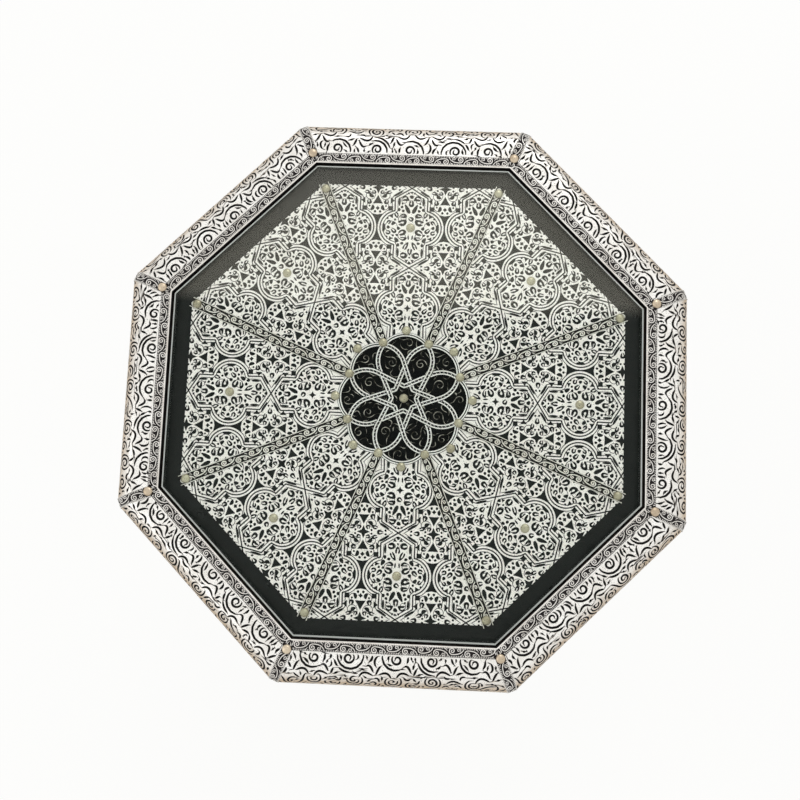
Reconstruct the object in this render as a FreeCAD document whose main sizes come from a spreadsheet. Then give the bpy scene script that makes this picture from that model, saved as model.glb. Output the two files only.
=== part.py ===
"""Octagonal Moroccan kursi table: a carved wooden base with eight arches, and a top whose bullnose rails
are wrapped in embossed sheet metal round a pierced metal field, under a loose pane of glass.

Millimetres. The origin is on the floor under the middle of the top, +Z is up, and the flats face +-X and +-Y.
"""
import FreeCAD, Part
import math
import os
import re
import Sketcher

SIDES = 8
EDGE_FLATS = 6
LOBE_STEPS = 6
BEND_STEPS = 3

# Every length is in millimetres and every angle in degrees.
SIZES = [
    ("side_angle", 45, "turn from one side of the octagon to the next"),
    ("across_flats", 504, "width of the top over its sheet covers"),
    ("table_height", 500, "floor to the border strips on the top"),
    ("cover_sheet", 0.6, "embossed sheet wrapped over the rails"),
    ("strip_sheet", 0.6, "narrow strips of sheet that hide the seams"),
    ("strip_width", 9.3, "width of those strips"),
    ("rail_height", 36, "height of the wooden rails"),
    ("rail_width", 38.8, "width of the wooden rails, from their outer face to the opening"),
    ("lip_width", 13.4, "part of the rail that overhangs the field's board"),
    ("lip_depth", 10.5, "thickness of that overhang"),
    ("corner_width", 9.3, "width of the blunt corner where two rails meet"),
    ("cover_return", 3, "how far the sheet runs on under the rails, past their round"),
    ("border_fold", 6, "depth of the border strip's edge, folded down inside the rails"),
    ("board_thick", 12, "board under the field"),
    ("fit_gap", 0.2, "clearance round a piece that is let in"),
    ("panel_sheet", 0.8, "pierced sheet of the eight field panels"),
    ("field_margin", 17.6, "black board left bare between the rails and the field panels"),
    ("panel_rim", 3.2, "unpierced rim round each field panel"),
    ("cell_width", 61.4, "width of one repeat of the pierced pattern"),
    ("cell_height", 74.4, "height of one repeat of the pierced pattern"),
    ("medallion_inset", 39, "field panels' outer edge to the nail in their middle medallion"),
    ("strip_overhang", 0.6, "how far the radial strips run past the field's corners"),
    ("lobe_reach", 59.3, "centre to the far side of the rosette's lobes"),
    ("lobe_depth", 5.8, "how far the rosette's inward points lie behind its lobes"),
    ("inlay_sheet", 0.6, "black plate of the rosette"),
    ("strap_sheet", 0.8, "interlaced straps on the rosette"),
    ("strap_width", 4, "width of one strap"),
    ("ring_width", 3.4, "width of the strap round the lobes"),
    ("kink_reach", 10.9, "centre to the bend of each strap"),
    ("strap_slope", 65, "angle between a strap's straight run and the line to its bend"),
    ("strap_run", 27, "length of a strap's straight run"),
    ("nail_radius", 4, "radius of a domed nail head"),
    ("nail_height", 2.6, "height of a domed nail head"),
    ("nail_skirt", 0.9, "height of the head's upright edge"),
    ("nail_crown", 1.5, "radius of the head's flat middle"),
    ("end_nail_inset", 5, "field's corners to the nails at the radial strips' outer ends"),
    ("lobe_nail_offset", 1.7, "rosette's lobes to the nails beside them"),
    ("frame_nail_inset", 31.5, "frame's blunt corners to the nails on them"),
    ("pane_thick", 6, "glass"),
    ("pane_gap", 2, "gap between the glass and the border strips"),
    ("pane_bevel", 1.3, "polished bevel round the glass"),
    ("rest_gap", 0.3, "clearance between the glass and the nail heads it lies on"),
    ("overhang", 62, "how far the top reaches out past the base's side boards"),
    ("side_thick", 14, "side boards"),
    ("jamb_half", 40, "half the width of the arch at the floor"),
    ("arch_radius", 58, "radius of the two arcs of the pointed arch"),
    ("arch_shift", 10, "how far each arc's centre lies past the middle"),
    ("arch_centre", 250, "height of those centres"),
    ("floor_gap", 1.5, "gap between the floor and the strips on the base"),
    ("block_leg", 20, "legs of the three-cornered glue blocks"),
    ("block_start", 30, "floor to the glue blocks"),
    ("block_drop", 26.3, "underside of the top to the glue blocks"),
    ("cleat_size", 20, "section of the battens that hold the top"),
    ("cleat_length", 90, "length of those battens"),
    ("cut_over", 5, "overrun of a cut past the solid"),
]

# Heights and places worked out from the sizes above.
RAIL_TOP = "(table_height - cover_sheet - strip_sheet)"
RAIL_FOOT = f"({RAIL_TOP} - rail_height)"
RAIL_MIDDLE = f"({RAIL_TOP} - rail_height / 2)"
RAIL_FACE = "(across_flats / 2 - cover_sheet)"
OPENING_REACH = f"({RAIL_FACE} - rail_width)"
FIELD_REACH = f"({OPENING_REACH} - field_margin)"
MEDALLION_REACH = f"({FIELD_REACH} - medallion_inset)"
BASE_REACH = "(across_flats / 2 - overhang)"
BOARD_TOP = f"({RAIL_TOP} - lip_depth)"
BOARD_FOOT = f"({BOARD_TOP} - board_thick)"
PANEL_TOP = f"({BOARD_TOP} + panel_sheet)"
STRIP_TOP = f"({PANEL_TOP} + strip_sheet)"
INLAY_TOP = f"({BOARD_TOP} + inlay_sheet)"
STRAP_TOP = f"({INLAY_TOP} + strap_sheet)"
SEAT_TOP = f"max({STRIP_TOP}; {STRAP_TOP})"
PANE_FOOT = f"({SEAT_TOP} + nail_height + rest_gap)"
COS = "cos(side_angle / 2)"
SIN = "sin(side_angle / 2)"
TAN = "tan(side_angle / 2)"
CORNER_FACE = f"({RAIL_FACE} / {COS} - corner_width / 2 * {TAN})"
CUSP_REACH = "(lobe_reach - lobe_depth)"
LOBE_CENTRE = f"((lobe_reach^2 - {CUSP_REACH}^2) / 2 / (lobe_reach - {CUSP_REACH} * {COS}))"
LOBE_RADIUS = f"(lobe_reach - {LOBE_CENTRE})"

# Openings of one repeat of the pierced pattern, from its medallion's nail. Each corner is a share of the
# repeat's width and height; the two words after it say which mirror images the opening has.
PETAL_SHARES = [(0.055, 0.110), (0.145, 0.080), (0.165, 0.165), (0.085, 0.195)]
CRESCENT_SHARES = [(0.335, 0.000), (0.375, 0.062), (0.425, 0.000), (0.375, -0.062)]
TEARDROP_SHARES = [(0.000, 0.245), (0.045, 0.305), (0.000, 0.370), (-0.045, 0.305)]
STAR_SHARES = [(0.500, 0.446), (0.564, 0.500), (0.500, 0.554), (0.436, 0.500)]
SPADE_SHARES = [(0.500, 0.362), (0.445, 0.290), (0.555, 0.290)]
OPENINGS = {
    "petals": [(PETAL_SHARES, True, True), (SPADE_SHARES, False, True)],
    "drops": [(CRESCENT_SHARES, True, False), (TEARDROP_SHARES, False, True), (STAR_SHARES, False, False)],
}

UP = FreeCAD.Vector(0, 0, 1)
SAME_LEVEL = 1e-6

doc = FreeCAD.newDocument("Kursi")


def make_sheet():
    """The driving dimensions, one row each: name, value and meaning."""
    table = doc.addObject("Spreadsheet::Sheet", "Sizes")
    for row, (alias, number, meaning) in enumerate(SIZES, start=1):
        table.set(f"A{row}", alias)
        table.set(f"B{row}", str(number))
        table.set(f"C{row}", meaning)
        table.setAlias(f"B{row}", alias)
    doc.recompute()
    return table


sizes = make_sheet()
ALIASES = re.compile(r"\b(" + "|".join(alias for alias, _, _ in SIZES) + r")\b")


def bound(text):
    """An expression that reads the sheet's cells."""
    return ALIASES.sub(r"Sizes.\1", text)


def number(text):
    """The present value of an expression."""
    return float(sizes.evalExpression(text))


# Sketch helpers. An outline is a list of corners, and a corner is (x, y), or (x, y, radius, side) where an
# arc ends whose centre lies to the left (side 1) or right (side -1) of the way there.
def origin_plane(body, role):
    return next(feature for feature in body.Origin.OriginFeatures if feature.Role == role)


def arc_between(start, end, radius, side):
    chord = end - start
    left = FreeCAD.Vector(-chord.y, chord.x, 0).normalize()
    centre = (start + end) * 0.5 + left * (side * math.sqrt(max(radius**2 - chord.Length**2 / 4, 0)))
    middle = centre - left * (side * radius)
    return Part.Arc(start, middle, end) if side > 0 else Part.Arc(end, middle, start)


def edge_end(edge, spot):
    """Which end of an edge, 1 or 2, lies at a spot: an arc always runs anticlockwise."""
    return 2 if (edge.EndPoint - spot).Length < (edge.StartPoint - spot).Length else 1


def add_outlines(sketch, outlines):
    """Add closed outlines whose corners and radii stay bound to the sheet."""
    edges, rules, texts = [], [], []
    for corners in outlines:
        first, count = len(edges), len(corners)
        spots = [FreeCAD.Vector(number(corner[0]), number(corner[1]), 0) for corner in corners]
        for index, corner in enumerate(corners):
            start, end = spots[index - 1], spots[index]
            straight = len(corner) == 2
            edges.append(Part.LineSegment(start, end) if straight else
                         arc_between(start, end, number(corner[2]), corner[3]))
        ends = [edge_end(edges[first + index], spots[index]) for index in range(count)]
        for index, corner in enumerate(corners):
            here, after = first + index, (index + 1) % count
            rules.append(Sketcher.Constraint("Coincident", here, ends[index], first + after, 3 - ends[after]))
            texts.append(None)
            rules.append(Sketcher.Constraint("DistanceX", -1, 1, here, ends[index], spots[index].x))
            texts.append(corner[0])
            rules.append(Sketcher.Constraint("DistanceY", -1, 1, here, ends[index], spots[index].y))
            texts.append(corner[1])
            if len(corner) > 2:
                rules.append(Sketcher.Constraint("Radius", here, number(corner[2])))
                texts.append(corner[2])
    sketch.addGeometry(edges)
    sketch.addConstraint(rules)
    for index, text in enumerate(texts):
        if text:
            sketch.setExpression(f"Constraints[{index}]", bound(text))


def new_sketch(body, name, role, outlines, height=None, turn=0):
    """A sketch on an origin plane of its body, raised by height or turned about the vertical."""
    sketch = body.newObject("Sketcher::SketchObject", name)
    sketch.AttachmentSupport = (origin_plane(body, role), [""])
    sketch.MapMode = "FlatFace"
    if turn:
        sketch.AttachmentOffset.Rotation = FreeCAD.Rotation(FreeCAD.Vector(0, 1, 0), turn)
    add_outlines(sketch, outlines)
    if height:
        sketch.setExpression(".AttachmentOffset.Base.z", bound(height))
    return sketch


def new_body(name):
    return doc.addObject("PartDesign::Body", name)


def pad(body, name, sketch, length, middle=False):
    feature = body.newObject("PartDesign::Pad", name)
    feature.Profile = sketch
    feature.setExpression("Length", bound(length))
    feature.SideType = "Symmetric" if middle else "One side"
    return feature


def pocket(body, name, sketch):
    """A cut through the whole body, both ways from its sketch."""
    feature = body.newObject("PartDesign::Pocket", name)
    feature.Profile = sketch
    feature.Type = "ThroughAll"
    feature.SideType = "Symmetric"
    return feature


def slab(name, outlines, foot, thick):
    """A flat piece: outlines in plan, raised to foot and padded upwards."""
    body = new_body(name)
    sketch = new_sketch(body, f"{name}_plan", "XY_Plane", outlines, height=foot)
    pad(body, f"{name}_pad", sketch, thick)
    return body


def turned(master, name, angle):
    """A copy of a master piece, turned about the middle of the table."""
    copy = doc.addObject("Part::Compound", name)
    copy.Links = [master]
    copy.Placement.Rotation = FreeCAD.Rotation(UP, angle)
    return copy


def all_round(master, name):
    """One sub-part for each side: name_1 to name_8."""
    step = number("side_angle")
    return [turned(master, f"{name}_{index + 1}", step * index) for index in range(SIDES)]


def group_round(masters, name):
    """One sub-part that holds pieces of all eight sides as separate solids, from pairs of piece and turn."""
    step = number("side_angle")
    links = []
    for order, (master, start) in enumerate(masters):
        links += [turned(master, f"{name}_{order}_{index}", start + step * index) for index in range(SIDES)]
    group = doc.addObject("Part::Compound", name)
    group.Links = links
    return group


# Outlines in plan. A side faces +X, and a corner points along +X before it is turned by half a side.
def band(inner, outer, gap="0"):
    """The part of one side between two octagons, mitred at both ends."""
    near, far = f"({inner}) * {TAN} - ({gap})", f"({outer}) * {TAN} - ({gap})"
    return [(inner, f"-({near})"), (outer, f"-({far})"), (outer, far), (inner, near)]


def octagon(reach):
    half = f"({reach}) * {TAN}"
    minus_reach, minus_half = f"-({reach})", f"-({half})"
    return [
        (reach, minus_half), (reach, half), (half, reach), (minus_half, reach),
        (minus_reach, half), (minus_reach, minus_half), (minus_half, minus_reach), (half, minus_reach),
    ]


def octofoil(shrink):
    """The rosette's outline, drawn in by shrink: eight round lobes that meet in inward points."""
    radius = f"({LOBE_RADIUS} - ({shrink}))"
    spread = f"asin({cusp_of(radius)} * {SIN} / {radius})"
    corners = []
    for lobe in range(SIDES):
        for step in range(LOBE_STEPS):
            angle = f"({spread} * {2 * step / LOBE_STEPS - 1})"
            out, across = f"({LOBE_CENTRE} + {radius} * cos({angle}))", f"({radius} * sin({angle}))"
            turn = f"(side_angle * {lobe})"
            corners.append((f"{out} * cos({turn}) - {across} * sin({turn})",
                            f"{out} * sin({turn}) + {across} * cos({turn})"))
    return corners


def cusp_of(radius):
    """Centre to the inward points where lobes of this radius meet."""
    return f"({LOBE_CENTRE} * {COS} + sqrt(({radius})^2 - ({LOBE_CENTRE} * {SIN})^2))"


def nail(name, reach, foot):
    """One domed nail head, on the X axis: an eight-sided boss with its top edge worn round."""
    body = new_body(name)
    outline = []
    for index in range(SIDES):
        angle = f"(side_angle * {index} + side_angle / 2)"
        outline.append((f"{reach} + nail_radius * cos({angle})", f"nail_radius * sin({angle})"))
    sketch = new_sketch(body, f"{name}_plan", "XY_Plane", [outline], height=foot)
    boss = pad(body, f"{name}_boss", sketch, "nail_height")
    doc.recompute()
    dome = body.newObject("PartDesign::Chamfer", f"{name}_dome")
    dome.Base = (boss, edges_at(boss, number(foot) + number("nail_height")))
    dome.ChamferType = "Two distances"
    dome.FlipDirection = True
    dome.setExpression("Size", bound("nail_radius - nail_crown"))
    dome.setExpression("Size2", bound("nail_height - nail_skirt"))
    doc.recompute()
    return body


def edges_at(feature, height):
    """Names of the edges that lie level at a height."""
    names = []
    for index, edge in enumerate(feature.Shape.Edges, start=1):
        box = edge.BoundBox
        if abs(box.ZMin - height) < SAME_LEVEL and abs(box.ZMax - height) < SAME_LEVEL:
            names.append(f"Edge{index}")
    return names


# Frame of the top.
def mitre_outlines():
    """What lies beyond the two mitres of a side that faces +X."""
    far, wide = "(across_flats / 2 + cut_over)", "(across_flats / 2)"
    upper = [("0", "0"), (far, f"{far} * {TAN}"), (far, wide), ("0", wide)]
    lower = [("0", "0"), ("0", f"-{wide}"), (far, f"-{wide}"), (far, f"-{far} * {TAN}")]
    return [upper, lower]


def half_round(middle, radius, steps=0):
    """The frame's round edge, from its foot to its top: two arcs, or flats where steps are given."""
    if not steps:
        return [
            (f"{middle} + {radius}", RAIL_MIDDLE, radius, 1),
            (middle, f"{RAIL_MIDDLE} + {radius}", radius, 1),
        ]
    angles = [f"({180 * step / steps - 90})" for step in range(1, steps + 1)]
    return [
        (f"{middle} + {radius} * cos({angle})", f"{RAIL_MIDDLE} + {radius} * sin({angle})")
        for angle in angles
    ]


def corner_outline(grow, steps):
    """What lies outside the blunt, rounded corner of the frame, seen along the rail's end."""
    radius = f"(rail_height / 2 + {grow})"
    middle = f"({CORNER_FACE} - rail_height / 2)"
    top, foot = f"({RAIL_MIDDLE} + {radius})", f"({RAIL_MIDDLE} - {radius})"
    far = f"({CORNER_FACE} + rail_height)"
    return [
        (middle, foot), *half_round(middle, radius, steps),
        (middle, f"{top} + cut_over"), (far, f"{top} + cut_over"),
        (far, f"{foot} - cut_over"), (middle, f"{foot} - cut_over"),
    ]


def rail_form(name, profile, grow, steps=0):
    """A length of rail from its section, mitred at both ends and blunted at both corners."""
    body = new_body(name)
    section = new_sketch(body, f"{name}_section", "XZ_Plane", [profile])
    pad(body, f"{name}_length", section, "across_flats / 2", middle=True)
    mitre = new_sketch(body, f"{name}_mitre", "XY_Plane", mitre_outlines())
    pocket(body, f"{name}_mitre_cut", mitre)
    half = number("side_angle") / 2
    for tag, turn in (("left", half), ("right", -half)):
        blunt = new_sketch(body, f"{name}_{tag}", "XZ_Plane", [corner_outline(grow, steps)], turn=turn)
        pocket(body, f"{name}_{tag}_cut", blunt)
    return body


def make_rails():
    """Eight wooden rails, their edge planed round in flats, and the embossed sheet wrapped over them."""
    middle = f"({RAIL_FACE} - rail_height / 2)"
    rebate = f"({OPENING_REACH} + lip_width)"
    profile = [
        (OPENING_REACH, RAIL_TOP), (OPENING_REACH, BOARD_TOP), (rebate, BOARD_TOP), (rebate, RAIL_FOOT),
        (middle, RAIL_FOOT), *half_round(middle, "(rail_height / 2)", EDGE_FLATS),
    ]
    rail = rail_form("rail_wood", profile, "0", EDGE_FLATS)
    grown = "(rail_height / 2 + cover_sheet)"
    under = f"({middle} - cover_return)"
    skin = [
        (OPENING_REACH, RAIL_TOP), (under, RAIL_TOP), (under, f"{RAIL_FOOT} - cover_sheet"),
        (middle, f"{RAIL_FOOT} - cover_sheet"), *half_round(middle, grown),
        (OPENING_REACH, f"{RAIL_TOP} + cover_sheet"),
    ]
    blank = rail_form("cover_blank", skin, "cover_sheet")
    cover = doc.addObject("Part::Cut", "cover_skin")
    cover.Base = blank
    cover.Tool = rail
    return all_round(rail, "frame_rail") + [group_round([(cover, 0)], "rail_covers")]


def make_border_strips():
    """Strips along the frame's inner edge, folded down over the covers and the rails' inner faces."""
    inner = f"({OPENING_REACH} - strip_sheet)"
    flange = band(inner, f"{inner} + strip_width")
    seat = f"({RAIL_TOP} + cover_sheet)"
    strip = slab("border_strip", [flange], seat, "strip_sheet")
    fold = new_sketch(strip, "border_fold_plan", "XY_Plane", [band(inner, OPENING_REACH)],
                      height=f"{seat} - border_fold")
    pad(strip, "border_fold_pad", fold, "border_fold")
    return group_round([(strip, 0)], "border_strips")


def make_mitre_strips():
    """Strips over the frame's eight mitres, bent round the covers' blunt corners."""
    near = "(rail_height / 2 + cover_sheet)"
    outer = f"({near} + strip_sheet)"
    middle = f"({CORNER_FACE} - rail_height / 2)"
    border = f"({OPENING_REACH} - strip_sheet + strip_width)"
    start = f"(({border} + strip_width / 2 * {SIN}) / {COS} + fit_gap)"
    section = [
        (start, f"{RAIL_MIDDLE} + {near}"), (start, f"{RAIL_MIDDLE} + {outer}"),
        (middle, f"{RAIL_MIDDLE} + {outer}"), (f"{middle} + {outer}", RAIL_MIDDLE, outer, -1),
        (middle, f"{RAIL_MIDDLE} - {outer}", outer, -1), (middle, f"{RAIL_MIDDLE} - {near}"),
        (f"{middle} + {near}", RAIL_MIDDLE, near, 1), (middle, f"{RAIL_MIDDLE} + {near}", near, 1),
    ]
    strip = new_body("mitre_strip")
    sketch = new_sketch(strip, "mitre_strip_section", "XZ_Plane", [section])
    pad(strip, "mitre_strip_pad", sketch, "strip_width", middle=True)
    return group_round([(strip, HALF_TURN)], "mitre_strips")


def make_frame_nails():
    reach = f"({CORNER_FACE} - frame_nail_inset)"
    return group_round([(nail("frame_nail", reach, "table_height"), HALF_TURN)], "frame_nails")


# Field inside the frame.
def panel_outline():
    """One field panel, from the rosette's lobe out to the field's edge, between two seams."""
    near = f"({CUSP_REACH} * {COS} + fit_gap)"
    near_half, far_half = f"({near} * {TAN} - fit_gap / 2)", f"({FIELD_REACH} * {TAN} - fit_gap / 2)"
    return [
        (near, f"-{near_half}", f"({LOBE_RADIUS} + fit_gap)", -1), (FIELD_REACH, f"-{far_half}"),
        (FIELD_REACH, far_half), (near, near_half),
    ]


def within_panel(spots):
    """True when an opening leaves the panel's rim whole."""
    rim, slope = number("panel_rim"), number(TAN)
    clear_of_edge = all(x <= number(FIELD_REACH) - rim for x, _ in spots)
    clear_of_seams = all(abs(y) <= x * slope - rim / number(COS) for x, y in spots)
    lobe = number(LOBE_RADIUS) + rim
    clear_of_lobe = all(math.hypot(x - number(LOBE_CENTRE), y) >= lobe for x, y in spots)
    return clear_of_edge and clear_of_seams and clear_of_lobe


def repeated(shares, across, along):
    """One kind of opening, repeated across the panel where it keeps inside the rim."""
    found = []
    for flip_x in (1, -1) if across else (1,):
        for flip_y in (1, -1) if along else (1,):
            for column in range(-2, 3):
                for row in range(-2, 3):
                    corners = [
                        (f"{MEDALLION_REACH} + cell_height * {row + flip_y * high}",
                         f"cell_width * {column + flip_x * wide}")
                        for wide, high in shares
                    ]
                    if within_panel([(number(x), number(y)) for x, y in corners]):
                        found.append(corners)
    return found


def make_panels():
    """Eight pierced panels: a plain blank, with two sets of openings cut through it."""
    panel = slab("panel_blank", [panel_outline()], BOARD_TOP, "panel_sheet")
    for name, openings in OPENINGS.items():
        outlines = [corners for opening in openings for corners in repeated(*opening)]
        cuts = new_sketch(panel, f"panel_{name}", "XY_Plane", outlines, height=BOARD_TOP)
        pocket(panel, f"panel_{name}_cut", cuts)
    return all_round(panel, "wedge_panel")


def make_radial_strips():
    """Strips over the seams between the panels, from the rosette's points to the field's corners."""
    start = (
        f"({LOBE_CENTRE} * {COS} + fit_gap"
        f" + sqrt(({LOBE_RADIUS})^2 - ({LOBE_CENTRE} * {SIN} - strip_width / 2)^2))"
    )
    end = f"({FIELD_REACH} / {COS} + strip_overhang)"
    right, left = "-strip_width / 2", "strip_width / 2"
    outline = [(start, right), (end, right), (end, left), (start, left)]
    strip = slab("radial_strip", [outline], PANEL_TOP, "strip_sheet")
    return group_round([(strip, HALF_TURN)], "radial_strips")


def strap_outline():
    """One strap, from one of the rosette's points in to its bend and out to another point."""
    across, along = "cos(strap_slope)", "sin(strap_slope)"
    run_x, run_y = f"(kink_reach + strap_run * {across})", f"(strap_run * {along})"
    cusp = cusp_of(f"({LOBE_RADIUS} - ring_width / 2)")
    end_x, end_y = f"({cusp} * cos(side_angle * 1.5))", f"({cusp} * sin(side_angle * 1.5))"
    leg_x, leg_y = f"({end_x} - {run_x})", f"({end_y} - {run_y})"
    bend = f"(({leg_x}^2 + {leg_y}^2) / 2 / ({leg_y} * {across} - {leg_x} * {along}))"
    middle_x, middle_y = f"({run_x} - {bend} * {along})", f"({run_y} + {bend} * {across})"
    turn = f"(2 * asin(sqrt({leg_x}^2 + {leg_y}^2) / 2 / {bend}))"

    def edge(side):
        """Corners of one edge of the strap, from its bend to its end."""
        half = f"({side} * strap_width / 2)"
        spots = [(f"kink_reach + {half} / {along}", "0")]
        for step in range(BEND_STEPS + 1):
            angle = f"(strap_slope * 1 deg - 90 deg + {turn} * {step / BEND_STEPS})"
            spots.append((f"{middle_x} + ({bend} + {half}) * cos({angle})",
                          f"({middle_y} + ({bend} + {half}) * sin({angle}))"))
        return spots

    outer, inner = edge(1), edge(-1)
    half_strap = outer + inner[:0:-1]
    mirrored = [(x, f"-{y}") for x, y in outer[:0:-1]], [(x, f"-{y}") for x, y in inner[1:]]
    return half_strap + [inner[0]] + mirrored[1] + mirrored[0]


def make_rosette():
    """The black eight-lobed plate in the middle, and the interlaced straps that lie on it."""
    inlay = slab("rosette_inlay", [octofoil("0")], BOARD_TOP, "inlay_sheet")
    lattice = new_body("rosette_lattice")
    ring = new_sketch(lattice, "ring_plan", "XY_Plane", [octofoil("fit_gap / 2"), octofoil("ring_width")],
                      height=INLAY_TOP)
    pad(lattice, "ring_pad", ring, "strap_sheet")
    strap = new_sketch(lattice, "strap_plan", "XY_Plane", [strap_outline()], height=INLAY_TOP)
    strap_pad = pad(lattice, "strap_pad", strap, "strap_sheet")
    doc.recompute()
    weave = lattice.newObject("PartDesign::PolarPattern", "strap_weave")
    weave.Originals = [strap_pad]
    weave.Axis = (origin_plane(lattice, "Z_Axis"), [""])
    weave.Occurrences = SIDES
    weave.Angle = number("side_angle") * SIDES
    lattice.Tip = weave
    return [inlay, lattice]


def make_field_nails():
    """Nails at the strips' outer ends, the rosette's points and lobes, the medallions and the middle."""
    centre = nail("centre_nail", "0", INLAY_TOP)
    ring = group_round([
        (nail("end_nail", f"({FIELD_REACH} / {COS} - end_nail_inset)", SEAT_TOP), HALF_TURN),
        (nail("cusp_nail", CUSP_REACH, SEAT_TOP), HALF_TURN),
        (nail("lobe_nail", "(lobe_reach + lobe_nail_offset)", SEAT_TOP), 0),
        (nail("medallion_nail", MEDALLION_REACH, PANEL_TOP), 0),
    ], "field_nails")
    ring.Links = ring.Links + [centre]
    return ring


def make_board():
    reach = f"({OPENING_REACH} + lip_width - fit_gap)"
    return slab("top_board", [octagon(reach)], BOARD_FOOT, "board_thick")


def make_pane():
    """The loose glass, with its top edge bevelled."""
    reach = f"({OPENING_REACH} - strip_sheet - pane_gap)"
    pane = slab("glass_pane", [octagon(reach)], PANE_FOOT, "pane_thick")
    doc.recompute()
    plain = pane.Tip
    bevel = pane.newObject("PartDesign::Chamfer", "pane_bevel_cut")
    bevel.Base = (plain, edges_at(plain, number(PANE_FOOT) + number("pane_thick")))
    bevel.setExpression("Size", bound("pane_bevel"))
    return pane


# Base.
def arch_outline():
    """A pointed horseshoe arch: upright jambs under two arcs whose centres lie past the middle."""
    spring = "(arch_centre - sqrt(arch_radius^2 - (jamb_half + arch_shift)^2))"
    top = "(arch_centre + sqrt(arch_radius^2 - arch_shift^2))"
    return [
        ("-jamb_half", "-cut_over"), ("jamb_half", "-cut_over"), ("jamb_half", spring),
        ("0", top, "arch_radius", 1), ("-jamb_half", spring, "arch_radius", 1),
    ]


def make_sides():
    """Eight boards mitred together, each with an arch cut through it."""
    board = slab("side_wood", [band(f"({BASE_REACH} - side_thick)", BASE_REACH)], "0", BOARD_FOOT)
    sketch = new_sketch(board, "side_arch", "YZ_Plane", [arch_outline()])
    pocket(board, "side_arch_cut", sketch)
    return all_round(board, "side_board")


def make_corner_strips():
    """Strips of sheet bent over the base's eight upright edges."""
    face, outside = BASE_REACH, f"({BASE_REACH} + strip_sheet)"
    edge_x, edge_y = f"({face} / {COS} - strip_width * {SIN})", f"(strip_width * {COS})"
    lip_x, lip_y = f"({edge_x} + strip_sheet * {COS})", f"({edge_y} + strip_sheet * {SIN})"
    outline = [
        (f"{face} / {COS}", "0"), (edge_x, f"-{edge_y}"), (lip_x, f"-{lip_y}"),
        (f"{outside} / {COS}", "0"), (lip_x, lip_y), (edge_x, edge_y),
    ]
    strip = slab("corner_strip", [outline], "floor_gap", f"({BOARD_FOOT} - floor_gap - fit_gap)")
    return group_round([(strip, HALF_TURN)], "corner_strips")


def make_corner_blocks():
    """Glue blocks up the base's inner corners."""
    tip = f"(({BASE_REACH} - side_thick) / {COS})"
    leg_x, leg_y = f"({tip} - block_leg * {SIN})", f"(block_leg * {COS})"
    back = f"({leg_x} - block_leg / 2)"
    outline = [(tip, "0"), (leg_x, leg_y), (back, leg_y), (back, f"-{leg_y}"), (leg_x, f"-{leg_y}")]
    height = f"({BOARD_FOOT} - block_drop - block_start)"
    block = slab("corner_block", [outline], "block_start", height)
    return group_round([(block, HALF_TURN)], "corner_blocks")


def make_cleats():
    """Battens inside the base's top edge, which the board of the top is screwed to."""
    face = f"({BASE_REACH} - side_thick)"
    outline = [
        (f"{face} - cleat_size", "-cleat_length / 2"), (face, "-cleat_length / 2"),
        (face, "cleat_length / 2"), (f"{face} - cleat_size", "cleat_length / 2"),
    ]
    cleat = slab("top_cleat", [outline], f"({BOARD_FOOT} - cleat_size)", "cleat_size")
    return group_round([(cleat, 0)], "top_cleats")


def check(objects):
    """Stop on any failed object, and on any sub-part without a valid solid."""
    for item in doc.Objects:
        if "Invalid" in item.State or "Error" in item.State:
            raise RuntimeError(f"{item.Name}: {item.State}")
    for item in objects:
        if item.Shape.isNull() or not item.Shape.isValid() or not item.Shape.Solids:
            raise RuntimeError(f"{item.Label} has no valid solid")


HALF_TURN = number("side_angle") / 2
SUB_PARTS = [
    *make_rails(), make_border_strips(), make_mitre_strips(), make_frame_nails(),
    make_board(), *make_panels(), make_radial_strips(), *make_rosette(), make_field_nails(), make_pane(),
    *make_sides(), make_corner_strips(), make_corner_blocks(), make_cleats(),
]
doc.recompute()
check(SUB_PARTS)
os.makedirs("parts", exist_ok=True)
for sub_part in SUB_PARTS:
    sub_part.Shape.exportStep(f"parts/{sub_part.Label}.step")
print(len(SUB_PARTS), "sub-parts")
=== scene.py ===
"""Looks of the octagonal table: engraved sheet round its rails and base, vine strips over the seams, pierced
panels, the interlaced rosette, domed nails and the bevelled glass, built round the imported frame.

Patterns are drawn in the plane, in millimetres, and then laid on the surface that carries them.
"""
import math

import bpy
import numpy as np
from mathutils import Matrix, Vector
from mathutils.geometry import delaunay_2d_cdt


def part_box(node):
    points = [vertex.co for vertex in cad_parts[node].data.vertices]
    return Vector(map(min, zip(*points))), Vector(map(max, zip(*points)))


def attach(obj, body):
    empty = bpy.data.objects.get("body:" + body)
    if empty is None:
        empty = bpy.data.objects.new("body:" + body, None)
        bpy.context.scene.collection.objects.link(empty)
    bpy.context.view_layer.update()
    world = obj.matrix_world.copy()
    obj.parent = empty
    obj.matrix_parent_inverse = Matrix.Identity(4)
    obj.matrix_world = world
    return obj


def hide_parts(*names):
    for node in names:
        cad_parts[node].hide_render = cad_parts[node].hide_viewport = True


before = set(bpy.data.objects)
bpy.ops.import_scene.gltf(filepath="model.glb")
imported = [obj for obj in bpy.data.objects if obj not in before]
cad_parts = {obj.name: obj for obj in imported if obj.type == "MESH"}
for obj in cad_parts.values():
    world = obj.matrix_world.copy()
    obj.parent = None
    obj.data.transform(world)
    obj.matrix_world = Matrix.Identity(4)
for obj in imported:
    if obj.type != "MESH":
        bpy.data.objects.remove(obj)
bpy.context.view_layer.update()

MM = 0.001
SIDES = 8
TURN = math.tau / SIDES
HALF = TURN / 2
TAN = math.tan(HALF)
COS = math.cos(HALF)


def low(node):
    return np.array(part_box(node)[0]) / MM


def high(node):
    return np.array(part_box(node)[1]) / MM


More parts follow.
